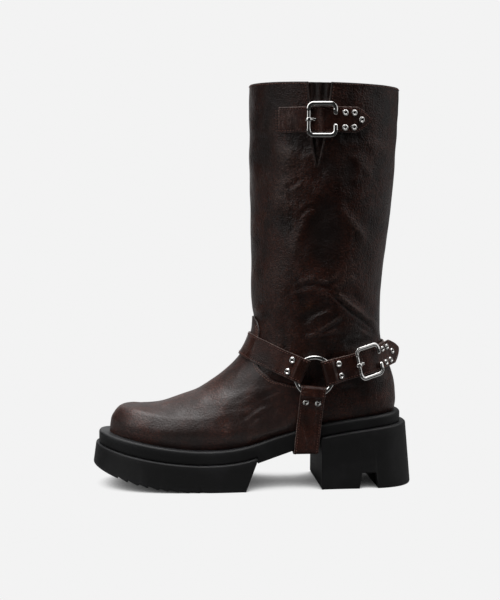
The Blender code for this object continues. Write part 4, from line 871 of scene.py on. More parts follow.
# Crease depths give painted shade in troughs and a painted highlight on ridges; the open slit's edges get a
# painted highlight
pale_and_highlight = fold.copy()
pale_and_highlight[np.ix_(is_open, (0, 1, -2, -1))] = -SLIT_PALE
fold_marks = np.concatenate([pale_and_highlight, np.repeat(pale_and_highlight[-1:], RIM_STEPS - 2, axis=0), pale_and_highlight[::-1]])
below_rim = np.broadcast_to(smooth_upper[-1:, :, 2] - smooth_upper[..., 2], fold.shape)
# Darker towards the collar's edge, with painted shade in the shade spots
hem = np.maximum(smooth(1.0 - below_rim / HEM_DARK_REACH), spot_share(smooth_upper, PAINTED_SHADE_SPOTS))
edge_marks = np.concatenate([hem, np.ones((RIM_STEPS - 2, columns)), np.full_like(fold, INSIDE_DARK)])
add_piece("boot_upper", wall.reshape(-1, 3), faces, shaft_leather, ["upper"],
          {"fold": fold_marks.reshape(-1), "edge": edge_marks.reshape(-1),
           "rust": spot_share(wall.reshape(-1, 3), RUSTY_SPOTS)})


def on_upper(u, v, lift):
    """Path on the creased upper, lifted off it, with its normals."""
    normals = surface_normals(u, v)
    points = upper_point(u, v)
    return points + (lift - creased(points))[..., None] * normals, normals


front_u, back_u = (float(slit_u(np.array([HEM_LEVEL]), table)[0]) for table in (SLIT_FRONT_X, SLIT_BACK_X))
around = wrapped(np.linspace(front_u + HEM_CLEAR_U, back_u + 2.0 - HEM_CLEAR_U, 500))
runs = [on_upper(around, np.full_like(around, HEM_LEVEL), 0.0)]
up_slit = np.linspace(SLIT_STITCH_LEVEL, HEM_LEVEL, 60)
runs += [on_upper(slit_u(up_slit, SLIT_FRONT_X) + SLIT_STITCH_U, up_slit, 0.0),
         on_upper(slit_u(up_slit, SLIT_BACK_X) - SLIT_STITCH_U, up_slit, 0.0)]
add_stitches("collar_stitches", runs, dark_thread)

# Vamp: a second layer of the same leather over the toe and instep, with a tab on the front of the ankle.
# Its edge lies on the quarters and is held by two rows of stitches.
VAMP_THICK = 1.2
VAMP_GAP = 0.4
VAMP_EDGE_V, VAMP_EDGE_U = np.transpose((
    (0.0, 0.690), (2.5, 0.684), (4.3, 0.655), (5.3, 0.610), (5.9, 0.562), (6.5, 0.480), (7.1, 0.407),
    (7.9, 0.343), (8.7, 0.268), (9.6, 0.200), (10.6, 0.152), (11.3, 0.130), (11.62, 0.102),
    (11.82, 0.070), (11.93, 0.034)))
VAMP_ROWS = 100
VAMP_COLUMNS = 150
TAB_LEVEL, TAB_HIGH = 11.0, 0.93
TAB_ROWS = 30
VAMP_EDGE_ROUND = 1.1
VAMP_DARK_REACH = 5.0
VAMP_SEAM_LEVELS = (0.35, 11.55)
VAMP_SEAM_INSETS = (1.9, 4.1)
SMALL_U = 0.01


def vamp_reach(v):
    """Half of the vamp's spread round the boot at level v."""
    return curve_through(VAMP_EDGE_V, VAMP_EDGE_U, v)


def from_edge(points):
    """Distance of each grid point from the nearer end of its row, and from the last row."""
    left = walked(points, 1)
    to_top = walked(points[::-1])[::-1]
    return np.minimum(np.minimum(left, left[:, -1:] - left), to_top)


def add_sheet(name, outer, inner, finish, nodes, marks):
    """Piece of leather between its face and its back, grids with the same marks, closed by a rim."""
    rows, columns = outer.shape[:2]
    count = rows * columns
    border = np.concatenate([np.arange(columns), columns * np.arange(1, rows) + columns - 1,
                             count - 2 - np.arange(columns - 1), columns * np.arange(rows - 2, 0, -1)])
    rim = np.stack([border, np.roll(border, -1), count + np.roll(border, -1), count + border], axis=1)
    faces = grid_faces(rows, columns) + grid_faces(rows, columns, first=count) + rim.tolist()
    points = np.concatenate([outer.reshape(-1, 3), inner.reshape(-1, 3)])
    add_piece(name, points, faces, finish, nodes,
              {mark: np.tile(values.reshape(-1), 2) for mark, values in marks.items()})


vamp_leather = leather_finish(
    "burnished vamp leather", base=(0.074, 0.0215, 0.0130), burnish_and_shade=(0.0160, 0.0060, 0.0043),
    rust=(0.100, 0.030, 0.010), pale_and_highlight=(0.100, 0.062, 0.053), pebble=640.0, relief=0.42, gloss=0.63,
    dull=0.29)
v = np.concatenate([np.linspace(0.0, TAB_LEVEL, VAMP_ROWS, endpoint=False),
                    TAB_LEVEL + TAB_HIGH * np.sin(np.linspace(0.0, math.pi / 2, TAB_ROWS))])[:, None]
t = np.sin(np.linspace(-math.pi / 2, math.pi / 2, VAMP_COLUMNS))[None, :]
u = t * vamp_reach(v)
base = upper_point(u, v)
base[0, :, 2] += SEAT_GAP
normals = surface_normals(u, v)
normals[0, :, 2] = 0.0
fold = creased(base)
inside = from_edge(base)
full = np.sqrt(np.clip(1.0 - (1.0 - np.clip(inside / VAMP_EDGE_ROUND, 0.0, 1.0)) ** 2, 0.02, 1.0))
vamp_top = base + (VAMP_GAP + VAMP_THICK * full)[..., None] * normals
outer = vamp_top - fold[..., None] * normals
inner = base + (VAMP_GAP - fold)[..., None] * normals
# Darker towards the vamp's edge, with painted shade in the shade spots
seam = np.maximum(smooth(1.0 - inside / VAMP_DARK_REACH), spot_share(base, PAINTED_SHADE_SPOTS))
add_sheet("boot_vamp", outer, inner, vamp_leather, ["vamp"],
          {"fold": fold, "edge": seam, "rust": spot_share(base, RUSTY_SPOTS)})
pale_thread = thread_finish("pale brown thread", (0.270, 0.135, 0.102, 1.0), (0.120, 0.055, 0.041, 1.0))
runs = []
seam_v = np.linspace(*VAMP_SEAM_LEVELS, 400)
reach = vamp_reach(seam_v)
for side in (-1.0, 1.0):
    step = upper_point(side * reach, seam_v) - upper_point(side * (reach - SMALL_U), seam_v)
    stretch = np.linalg.norm(step, axis=1)
    for inset in VAMP_SEAM_INSETS:
        runs.append(on_upper(side * (reach - SMALL_U * inset / stretch), seam_v, VAMP_GAP + VAMP_THICK))
add_stitches("vamp_stitches", runs, pale_thread, pitch=2.3, long=1.55, thick=0.66)

# Gusset: a soft thin piece of dark leather behind the slit, sewn to the inside of the shaft.
# It lets the collar open, and hangs in shallow upright folds.
GUSSET_THICK = 1.1
GUSSET_SPREAD = (-0.355, -0.535)
GUSSET_LEVELS = (14.95, 16.99)
GUSSET_FOLD = 0.55
GUSSET_FOLDS = 5
FOLDS_START, FOLDS_EASE = 15.1, 1.2
GUSSET_FOLD_SHADING = 1.4
gusset_leather = leather_finish(
    "soft gusset leather", base=(0.026, 0.0080, 0.0052), burnish_and_shade=(0.0070, 0.0028, 0.0020),
    rust=(0.045, 0.014, 0.006), pale_and_highlight=(0.090, 0.056, 0.047), pebble=1150.0, relief=0.8, gloss=0.30)
u = np.linspace(*GUSSET_SPREAD, 60)[None, :]
v = np.linspace(*GUSSET_LEVELS, 70)[:, None]
base = upper_point(u, v)
normals = surface_normals(u, v)
wave = np.cos(2 * math.pi * GUSSET_FOLDS * (u - GUSSET_SPREAD[0]) / (GUSSET_SPREAD[1] - GUSSET_SPREAD[0]))
ripple = GUSSET_FOLD * (1.0 + wave) * smooth((v - FOLDS_START) / FOLDS_EASE)
outer = base - (WALL + GAP + ripple)[..., None] * normals
inner = outer - GUSSET_THICK * normals
# The folds' crests get a painted highlight and their hollows painted shade
add_sheet("slit_gusset", outer, inner, gusset_leather, ["gusset"],
          {"fold": (ripple - GUSSET_FOLD) * GUSSET_FOLD_SHADING, "edge": np.zeros_like(ripple)})

# Calf strap: a strip of smooth brown strap leather across the slit, sewn down at its front end.
# It is pulled taut round the shaft, has stitched edges and a pointed free tip held by studs.
STRAP_THICK = 1.4
STRAP_LIFT = 0.45
HUG = STRAP_LIFT + STRAP_THICK / 2
CALF_Z = 319.2
CALF_BUCKLE_X = 53.8
CALF_SEWN_REACH = 37.0
CALF_HALF = 10.75
CALF_TIP_REACH = 44.0
TIP_LENGTH = 14.0
TIP_POWER = 0.6
FAR = 300.0
SOFTEN = 25
SEAT_FLAT = 19.0
SEAT_EASE = 31.0
STITCH_INSET = 1.9
CROWN = 0.10
GROOVE_Q, GROOVE_DEEP = 0.83, 0.24
CUT_EDGE_PALE = 2.4
PUCKER_PALE = 1.5
CALF_SEWN_ROWS = (1.5, 3.6)
CALF_SECTION = SECTIONS[16]
# Ridge and hollow under a buckle: height and distance from the buckle's middle
PUCKERS = ((0.5, -0.8), (-0.25, 2.8))
PUCKER_REACH = 1.7
TIP_STEPS = 40
BODY_LEVELS, BODY_COLUMNS = 200, 260
OUTWARDS = np.array([0.0, -1.0, 0.0])


def flat_cross(a, b):
    """Cross product of vectors in a plane."""
    return a[..., 0] * b[..., 1] - a[..., 1] * b[..., 0]


class Course:
    """A strap's way round the boot: three parallel sections of the boot, pulled taut.

    s is the distance along the way from its start, q runs -1..1 across the strap's width,
    and h is the height above the boot."""

    def __init__(self, trees, centre, heading, half, turns):
        self.half = half
        self.heading = np.asarray(heading, float)
        self.across = np.cross(self.heading, OUTWARDS)
        if self.across[2] + 0.5 * self.across[0] < 0:
            self.across = -self.across
        self.turn = np.radians(np.arange(turns[0], turns[1] + 0.1, 0.3))
        self.seats = []
        middles = [np.asarray(centre, float) + q * half * self.across for q in np.linspace(-1.0, 1.0, 9)]
        reach = np.array([self.reach_row(trees, middle) for middle in middles])
        share = np.linspace(0.0, 1.0, 5)[:, None]
        low = np.max(reach[:5] - (reach[0] + share * (reach[4] - reach[0])), axis=0)
        high = np.max(reach[4:] - (reach[4] + share * (reach[8] - reach[4])), axis=0)
        self.rows = [self.taut_row(middles[0], reach[0] + low),
                     self.taut_row(middles[4], reach[4] + np.maximum(low, high)),
                     self.taut_row(middles[8], reach[8] + high)]
        length = walked(self.rows[1][0])
        self.length = length - np.interp(0.0, self.turn, length)

    def reach_row(self, trees, middle):
        """Distances from a middle point to the boot's outermost surface, at each turn."""
        reach = []
        for turn in self.turn:
            way = math.cos(turn) * OUTWARDS + math.sin(turn) * self.heading
            hits = [tree.ray_cast(Vector(middle + FAR * way), Vector(-way)) for tree in trees]
            reach.append(FAR - min(hit[3] for hit in hits if hit[0] is not None))
        return np.array(reach)

    def taut_row(self, middle, reach):
        """Outermost points of one section, bridged by its convex hull, and their softened normals."""
        ray = np.stack([np.cos(self.turn), np.sin(self.turn)], axis=1)
        hull = []
        for point in reach[:, None] * ray:
            while len(hull) > 1 and flat_cross(hull[-1] - hull[-2], point - hull[-1]) <= 0.0:
                hull.pop()
            hull.append(point)
        hull = np.array(hull)
        angle = np.unwrap(np.arctan2(hull[:, 1], hull[:, 0]))
        edge = np.clip(np.searchsorted(angle, self.turn, side="right") - 1, 0, len(hull) - 2)
        along = hull[edge + 1] - hull[edge]
        points = (flat_cross(hull[edge], along) / flat_cross(ray, along))[:, None] * ray
        ahead = self.softened(unit(np.gradient(points, axis=0)))
        normals = unit(np.stack([ahead[:, 1], -ahead[:, 0]], axis=1))
        world = middle + points[:, :1] * OUTWARDS + points[:, 1:] * self.heading
        return world, normals[:, :1] * OUTWARDS + normals[:, 1:] * self.heading

    def softened(self, lines):
        """Running mean along the way."""
        padded = np.pad(lines, ((SOFTEN // 2, SOFTEN // 2), (0, 0)), mode="edge")
        even = np.ones(SOFTEN) / SOFTEN
        return np.stack([np.convolve(padded[:, k], even, "valid") for k in range(lines.shape[1])], axis=1)

    def seat(self, origin, sign, centre, normal):
        """Lay the way flat on a ring's plane near one end, easing back to the boot further on."""
        along = self.point(origin + sign * SEAT_EASE, 0.0, 0.0) - centre
        along = unit(along - np.dot(along, normal) * normal)
        across = np.cross(normal, along)
        across *= np.sign(np.dot(across, self.across))
        self.seats.append((origin, sign, centre, along, across, normal))

    def point(self, s, q, h):
        """Points at s, q, h: a parabola across the three sections, each lifted along its normal."""
        s, q, h = np.broadcast_arrays(np.asarray(s, float), q, h)
        places = []
        for world, normals in self.rows:
            on, up = (read_off(s, self.length, line) for line in (world, normals))
            places.append(on + h[..., None] * unit(up))
        low, mid, high = places
        share = q[..., None]
        place = mid + share * (high - low) / 2 + share**2 * ((high + low) / 2 - mid)
        for origin, sign, centre, along, across, normal in self.seats:
            away = (sign * (s - origin))[..., None]
            flat = centre + away * along + self.half * share * across + h[..., None] * normal
            place = flat + (place - flat) * smooth((away - SEAT_FLAT) / (SEAT_EASE - SEAT_FLAT))
        return place

    def frame(self, s, q, h):
        """Point, direction along, direction across and outward normal at one place."""
        here = self.point(s, q, h)
        along = unit(self.point(s + 1.0, q, h) - self.point(s - 1.0, q, h))
        across = self.point(s, q + 0.1, h) - self.point(s, q - 0.1, h)
        normal = unit(np.cross(along, across))
        if np.dot(normal, self.point(s, q, h + 1.0) - here) < 0:
            normal = -normal
        return here, along, np.cross(normal, along), normal

    def s_at_x(self, x, start, end):
        """Distance along the way where it reaches x, between two distances."""
        s = np.linspace(start, end, 400)
        return s[np.argmin(np.abs(self.point(s, 0.0, 0.0)[:, 0] - x))]


def strap_profile():
    """Cross-section of strap leather, in (share of the half width, share of the half thickness): a
    crowned face with a shallow groove under each row of stitches, rounded edges and a flat back."""
    turn = np.radians(np.linspace(90.0, -90.0, 7))
    round_q = 1.0 - 0.055 * (1.0 - np.cos(turn))
    half_q = np.array([0.28, 0.55, 0.745, 0.79, 0.83, 0.865, 0.90])
    face_q = np.concatenate([-half_q[::-1], [0.0], half_q])
    groove = np.exp(-(((np.abs(face_q) - GROOVE_Q) / 0.035) ** 2))
    face = np.stack([face_q, 1.0 + CROWN * (1.0 - face_q**2) - GROOVE_DEEP * groove], axis=1)
    right = np.stack([round_q, np.sin(turn)], axis=1)
    back = np.stack([np.linspace(0.8, -0.8, 5), np.full(5, -1.0)], axis=1)
    left = right[::-1] * (-1.0, 1.0)
    return np.concatenate([face, right, back, left])


PROFILE = strap_profile()


def add_strap(name, course, path, finish, nodes, tip_end=None, fold=None):
    """Strap along a path of (s, h): its cross-section carried along, drawn in to a point at tip_end.
    Returns the runs for its two rows of stitches."""
    ahead = np.gradient(path, axis=0)
    side = STRAP_THICK / 2 * unit(np.stack([-ahead[:, 1], ahead[:, 0]], axis=1))
    width = np.ones(len(path))
    if tip_end is not None:
        width = np.clip((tip_end - path[:, 0]) / TIP_LENGTH, 0.004, 1.0) ** TIP_POWER
    q = PROFILE[None, :, 0] * width[:, None]
    s = path[:, :1] + PROFILE[None, :, 1] * side[:, :1]
    h = path[:, 1:] + PROFILE[None, :, 1] * side[:, 1:]
    points = course.point(s, q, h)
    rows, columns = points.shape[:2]
    from_middle = np.abs(PROFILE[:, 0])
    edge = np.broadcast_to(np.exp(-(((from_middle - GROOVE_Q) / 0.07) ** 2)), (rows, columns))
    # Painted highlight along the strap's cut edges
    cut_edge = -CUT_EDGE_PALE * smooth((from_middle - 0.93) / 0.04)
    lines = (np.zeros(rows) if fold is None else fold)[:, None] + cut_edge
    add_piece(name, points.reshape(-1, 3), tube_faces(rows, columns), finish, nodes,
              {"edge": edge.reshape(-1), "fold": lines.reshape(-1)})
    runs = []
    for q_side in (-1.0, 1.0):
        q = q_side * np.maximum(width - STITCH_INSET / course.half, 0.0)
        on = course.point(path[:, 0] + side[:, 0], q, path[:, 1] + side[:, 1])
        off = course.point(path[:, 0] + 2 * side[:, 0], q, path[:, 1] + 2 * side[:, 1])
        runs.append((on, off - on))
    return runs


def tree_over(points, faces):
    """Search tree over a surface."""
    return BVHTree.FromPolygons(points.tolist(), faces)


def pucker(away):
    """Soft ridge and hollow across a strap under its buckle, at distances from the buckle's middle."""
    return sum(high * np.exp(-(((away - place) / PUCKER_REACH) ** 2)) for high, place in PUCKERS)


def tip_steps(tip_s):
    """Distances along a strap's pointed end, closer together towards its point."""
    return tip_s - TIP_LENGTH * np.cos(np.linspace(0.0, math.pi / 2, TIP_STEPS))


strap_leather = leather_finish(
    "smooth strap leather", base=(0.074, 0.0205, 0.0120), burnish_and_shade=(0.0150, 0.0054, 0.0036),
    rust=(0.110, 0.031, 0.011), pale_and_highlight=(0.240, 0.165, 0.145), pebble=1150.0, relief=0.7, gloss=0.27)
u = np.linspace(-1.0, 1.0, BODY_COLUMNS, endpoint=False)[None, :]
v = np.linspace(0.0, COLLAR_LEVEL, BODY_LEVELS)[:, None]
round_faces = grid_faces(BODY_LEVELS, BODY_COLUMNS, round_columns=True)
body = [tree_over(upper_point(u, v).reshape(-1, 3), round_faces),
        tree_over(vamp_top.reshape(-1, 3), grid_faces(*vamp_top.shape[:2])),
        tree_over(band_points, band_faces)]
shaft_middle_x = (CALF_SECTION[0] + CALF_SECTION[2]) / 2
calf_way = Course(body, (shaft_middle_x, 0.0, CALF_Z), (1.0, 0.0, 0.0), CALF_HALF, (-75.0, 75.0))
calf_s = calf_way.s_at_x(CALF_BUCKLE_X, -60.0, 60.0)
tip_s = calf_s + CALF_TIP_REACH
s = np.concatenate([calf_s - CALF_SEWN_REACH + np.array([0.0, 0.2, 0.5, 0.8, 1.0]),
                    np.linspace(calf_s - CALF_SEWN_REACH + 1.3, tip_s - TIP_LENGTH, 130, endpoint=False),
                    tip_steps(tip_s)])
height = HUG + pucker(s - calf_s)
# Painted highlight along the strap's sewn end and on the pucker's ridge, painted shade in the pucker's hollow
cut_end = -CUT_EDGE_PALE * smooth((calf_s - CALF_SEWN_REACH + 0.9 - s) / 0.3)
runs = add_strap("calf_strap", calf_way, np.stack([s, height], axis=1), strap_leather, ["strap_calf"], tip_s,
                 cut_end - PUCKER_PALE * pucker(s - calf_s))
sewn_q = np.linspace(-0.95, 0.95, 40)
for reach in CALF_SEWN_ROWS:
    lines = [calf_way.point(calf_s - CALF_SEWN_REACH - reach, sewn_q, lift) for lift in (0.05, 1.0)]
    runs.append((lines[0], lines[1] - lines[0]))
add_stitches("calf_strap_stitches", runs, dark_thread)

# Calf buckle: an open frame of polished steel wire that lies on the strap, with a short prong hooked
# over its closed side, and five studs with hollow round heads that are riveted into the strap's tip.
FRAME_HALF_LONG = 11.3
FRAME_HALF_WIDE = 13.2
FRAME_WIRE = 1.7
FRAME_CORNER = 4.2
FRAME_MOUTH = 3.6
FRAME_SHOULDER = 8.6
BAR_SLIM, BAR_EASE = 0.22, 0.8
PRONG_THICK = 1.0
PRONG_HALF = 1.4
PRONG_REACH = 6.2
PRONG_LIFT = 0.2
PRONG_BEND = 0.9
STUDS = ((19.2, 5.7), (19.2, -6.7), (27.0, 5.7), (27.0, -6.4), (33.8, 0.0))
STUD_RADIUS = 2.6
STUD_HIGH = 1.3
# Half of the wire's cross-section, in shares of its radius: a flat face between two bevels, and a side
BEVELLED = ((1.0, 0.0), (1.0, 0.36), (0.975, 0.58), (0.93, 0.66), (0.90, 0.68), (0.67, 0.825),
            (0.64, 0.845), (0.59, 0.868), (0.50, 0.88))
# A round head from its foot over its crest into its open middle: share of its radius, share of its height
HEAD_PROFILE = ((1.0, 0.0), (1.0, 0.43), (0.985, 0.53), (0.965, 0.57), (0.945, 0.595), (0.715, 0.882),
                (0.695, 0.903), (0.665, 0.903), (0.645, 0.882), (0.435, 0.62), (0.41, 0.59), (0.39, 0.53),
                (0.385, 0.42), (0.38, 0.0))
HEAD_SIDES = 28
HEAD_LIFT = 0.05
# A punched hole from its rim inwards: radius and height
PINHOLE_PROFILE = ((1.45, -0.1), (1.2, 0.12), (1.0, 0.10), (0.85, -0.06), (0.05, -0.08))
PINHOLE_SIDES = 20
PINHOLE_REACH = 1.6
PRONG_TIP_SHARE = 0.62


def steel_finish(name, dull):
    """Plated steel of some dullness: nearly clean, with faint clouds of handling and fine scratches."""
    material, tree, shader, place = new_finish(name)
    cloud = spread(tree, noise(tree, place, 160.0, 4.0), 0.35, 0.7)
    stretched = node(tree, "ShaderNodeMapping", {"Vector": place, "Rotation": (0.3, 0.5, 0.7),
                                                 "Scale": (1.0, 9.0, 9.0)}).outputs[0]
    scratch = spread(tree, noise(tree, stretched, 420.0, 3.0, 0.7), 0.60, 0.72)
    rough = plus(tree, dull, weighed(tree, (cloud, 0.05), (scratch, 0.10)))
    feed(tree, shader, mixed(tree, cloud, (0.95, 0.94, 0.92, 1.0), (0.82, 0.81, 0.79, 1.0)), rough)
    shader.inputs["Metallic"].default_value = 1.0
    raised(tree, shader, scratch, 0.00005, 0.2)
    return material


def wire_profile():
    """Cross-section of drawn wire, in shares of its radius: round behind, bevelled in front."""
    front = np.array(BEVELLED)
    turn = np.radians(np.arange(198.0, 343.0, 18.0))
    back = np.stack([np.cos(turn), np.sin(turn)], axis=1)
    return np.concatenate([front, [(0.0, 0.885)], front[::-1] * (-1.0, 1.0), back])


WIRE_PROFILE = wire_profile()
WIRE_SIDES = len(WIRE_PROFILE)


def wire_points(path, normal, radius, closed):
    """Bevelled wire along a flat path whose plane has the given normal: its cross-section carried along
    the path, with a radius at each point."""
    ahead = np.roll(path, -1, axis=0) - np.roll(path, 1, axis=0) if closed else np.gradient(path, axis=0)
    outward = unit(np.cross(ahead, normal))
    ring = WIRE_PROFILE[None, :, :1] * outward[:, None, :] + WIRE_PROFILE[None, :, 1:] * normal
    return (path[:, None, :] + np.broadcast_to(radius, len(path))[:, None, None] * ring).reshape(-1, 3)


def frame_path():
    """Middle line of an open buckle frame, from one end of its mouth round its four corners to the other,
    and the wire's radius there: rounded off at both ends and thinner on the bar that carries the prong."""
    corners = []
    for side, up, start in ((1, 1, 0), (-1, 1, 90), (-1, -1, 180), (1, -1, 270)):
        turn = np.radians(np.linspace(start, start + 90, 12))
        centre = (side * (FRAME_HALF_LONG - FRAME_CORNER), up * (FRAME_HALF_WIDE - FRAME_CORNER))
        corners.append(centre + FRAME_CORNER * np.stack([np.cos(turn), np.sin(turn)], axis=1))
    bar = np.linspace(1.0, -1.0, 30)[1:-1] * (FRAME_HALF_WIDE - FRAME_CORNER)
    bar = np.stack([np.full_like(bar, -FRAME_HALF_LONG), bar], axis=1)
    cap = FRAME_WIRE * (1.0 - np.cos(np.linspace(0.0, math.pi / 2, 8)))
    lip = np.stack([np.full_like(cap, FRAME_HALF_LONG), FRAME_MOUTH + cap], axis=1)
    path = np.concatenate([lip, *corners[:2], bar, *corners[2:], lip[::-1] * (1.0, -1.0)])
    end = FRAME_WIRE * np.sqrt(np.clip(1.0 - (1.0 - cap / FRAME_WIRE) ** 2, 1e-4, 1.0))
    radius = np.concatenate([end, np.full(len(path) - 2 * len(end), FRAME_WIRE), end[::-1]])
    on_bar = (path[:, 0] < 0.0) & (np.abs(path[:, 1]) < FRAME_SHOULDER)
    slim = smooth((FRAME_SHOULDER - np.abs(path[:, 1])) / BAR_EASE)
    return path, np.where(on_bar, radius * (1.0 - BAR_SLIM * slim), radius)


def add_buckle(name, course, s, height, steel):
    """Open frame on its strap, and a flat prong bent over the frame's closed bar."""
    middle, along, across, normal = course.frame(s, 0.0, height)
    reach = np.array([[-FRAME_HALF_LONG], [FRAME_HALF_LONG]])
    bars = course.point(s + reach, np.array([[-1.0, 0.0, 1.0]]), height)
    beyond = FRAME_HALF_WIDE / course.half
    beside = course.point(s + reach, np.array([[-beyond, beyond]]), height - STRAP_THICK)
    lift = max(np.max((bars - middle) @ normal) + GAP, np.max((beside - middle) @ normal)) + FRAME_WIRE
    path, radius = frame_path()
    world = middle + lift * normal + path[:, :1] * along + path[:, 1:] * across
    add_piece(name + "_buckle", wire_points(world, normal, radius, False), tube_faces(len(path), WIRE_SIDES),
              steel, ["buckle_" + name])
    bar = -FRAME_HALF_LONG
    wrap = FRAME_WIRE + GAP + PRONG_THICK / 2
    turn = np.radians(np.linspace(0.0, 180.0, 20))
    hook = np.stack([bar + wrap * np.cos(turn), lift + wrap * np.sin(turn)], axis=1)
    floor = lift - FRAME_WIRE + PRONG_THICK / 2 + PRONG_LIFT
    tongue = np.linspace(PRONG_REACH, wrap + PRONG_BEND, 10)
    line = np.concatenate([np.stack([bar + tongue, np.full_like(tongue, floor)], axis=1), hook])
    ahead = np.gradient(line, axis=0)
    up = unit(np.stack([-ahead[:, 1], ahead[:, 0]], axis=1))
    turn = np.linspace(0.0, 2 * math.pi, 20, endpoint=False)
    slab = np.stack([np.sign(np.cos(turn)) * np.abs(np.cos(turn)) ** 0.4,
                     np.sign(np.sin(turn)) * np.abs(np.sin(turn)) ** 0.5], axis=1)
    slab *= (PRONG_HALF, PRONG_THICK / 2)
    taper = np.concatenate([np.linspace(PRONG_TIP_SHARE, 1.0, len(tongue)), np.ones(len(hook))])
    flat = line[:, None, :] + slab[None, :, 1:] * up[:, None, :]
    spot = middle + flat[..., :1] * along + flat[..., 1:] * normal
    points = spot + (slab[None, :, :1] * taper[:, None, None]) * across
    add_piece(name + "_prong", points.reshape(-1, 3), tube_faces(len(line), len(turn)), steel,
              ["prong_" + name])


def head_points(place, normal, radius, high):
    """Hollow round head turned about its normal: an upright edge, a slope up to its crest, and a slope
    down into its open middle."""
    turn = np.linspace(0.0, 2 * math.pi, HEAD_SIDES, endpoint=False)
    out, rise = np.transpose(HEAD_PROFILE)
    along = unit(np.cross(normal, (0.0, 0.0, 1.0)))
    spoke = np.cos(turn)[:, None] * along + np.sin(turn)[:, None] * np.cross(normal, along)
    return place + radius * out[:, None, None] * spoke[None] + high * rise[:, None, None] * normal


def add_heads(name, spots, radius, high, steel, nodes):
    """Several round heads as one piece, each at its place with its normal."""
    heads = np.array([head_points(place, normal, radius, high) for place, normal in spots])
    count, rows = heads.shape[:2]
    faces = []
    for k in range(count):
        first = k * rows * HEAD_SIDES
        faces += grid_faces(rows, HEAD_SIDES, round_rows=True, round_columns=True, first=first)
    add_piece(name, heads.reshape(-1, 3), faces, steel, nodes)


def add_studs(name, course, s, height, steel):
    """The five studs of a strap's tip."""
    frames = [course.frame(s + reach, aside / course.half, height + HEAD_LIFT) for reach, aside in STUDS]
    add_heads(name + "_studs", [(place, normal) for place, _, _, normal in frames], STUD_RADIUS, STUD_HIGH,
              steel, ["stud_%s_%d" % (name, k + 1) for k in range(len(STUDS))])


def add_pinhole(name, course, s, height, finish):
    """Punched hole for the prong: a shallow dish with a raised rim, turned about the strap's normal, with
    painted shade in the dish for the hole's depth.
    """
    place, along, across, normal = course.frame(s, 0.0, height)
    turn = np.linspace(0.0, 2 * math.pi, PINHOLE_SIDES, endpoint=False)
    out, rise = np.transpose(PINHOLE_PROFILE)
    spoke = np.cos(turn)[:, None] * along + np.sin(turn)[:, None] * across
    points = place + out[:, None, None] * spoke[None] + rise[:, None, None] * normal
    # Painted shade inside the rim, for the depth of the hole
    marks = {"edge": np.repeat([0, 0, 1, 1, 1], len(turn)), "fold": np.repeat([0, 0, 2, 3, 3], len(turn))}
    add_piece(name, points.reshape(-1, 3), tube_faces(len(out), len(turn)), finish, marks=marks)


polished_steel = steel_finish("polished steel", 0.04)
tumbled_steel = steel_finish("tumbled steel", 0.20)
strap_top = HUG + (1.0 + CROWN) * STRAP_THICK / 2
add_buckle("calf", calf_way, calf_s, HUG + STRAP_THICK / 2, polished_steel)
add_studs("calf", calf_way, calf_s, HUG + STRAP_THICK / 2, tumbled_steel)
add_pinhole("calf_pinhole", calf_way, calf_s + PINHOLE_REACH, strap_top, strap_leather)

# Harness rings: one round ring of polished steel wire on each side of the ankle.
# Three strap ends are folded round each ring and hold it flat against the boot.
RING_X = 50.1
RING_Z = 99.4
RING_RADIUS = 16.4
RING_WIRE = 1.6
RING_STEPS = 120
HARNESS_HALF = 10.8
INSTEP_TILT = 24.0
HEEL_TILT = 14.0
SOLE_TILT = 5.5
SLING_Z = 33.0
SLING_ROUND = 2.5
SLING_HALF_LONG = 26.0
WHOLE_TURN = (-12.0, 192.0)
FOLD_SLACK = 0.35
RING_LIFT = HUG + STRAP_THICK / 2 + FOLD_SLACK + RING_WIRE


def tilted(degrees, along, up):
    """Direction in the side view, from its parts along the boot and upwards."""
    turn = math.radians(degrees)
    return (along * math.cos(turn), 0.0, up * math.sin(turn))


def sling_tree():
    """Search tree over a level trough under the waist, as wide as the midsole, where the sole strap hangs:
    a flat floor between two slanted sides, carried along the boot."""
    outer, inner = (float(side_y(RING_X, side, BAND)) for side in (-1.0, 1.0))
    profile = np.array([(outer, SLING_Z + SLING_ROUND), (outer + SLING_ROUND, SLING_Z),
                        (inner - SLING_ROUND, SLING_Z), (inner, SLING_Z + SLING_ROUND)])
    ends = RING_X + SLING_HALF_LONG * np.array([-1.0, 1.0])
    points = np.stack([np.repeat(ends, 4), np.tile(profile[:, 0], 2), np.tile(profile[:, 1], 2)], axis=1)
    return tree_over(points, grid_faces(2, 4))


def ring_plane(ways):
    """Plane on which strap ends meet, laid on the boot: a centre, a direction and a normal."""
    a, b, c = (course.point(origin + sign * SEAT_EASE, 0.0, 0.0) for course, origin, sign in ways)
    middle = np.mean([course.point(origin, 0.0, 0.0) for course, origin, sign in ways], axis=0)
    normal = unit(np.cross(b - a, c - a))
    normal *= np.sign(np.dot(normal, middle * (0.0, 1.0, 0.0)))
    near = np.linspace(0.0, SEAT_FLAT, 12)[:, None]
    edges = np.array([[-1.0, 0.0, 1.0]])
    under = np.concatenate([course.point(origin + sign * near, edges, 0.0).reshape(-1, 3)
                            for course, origin, sign in ways])
    centre = middle + np.max((under - middle) @ normal) * normal
    return centre, unit(a - centre - np.dot(a - centre, normal) * normal), normal


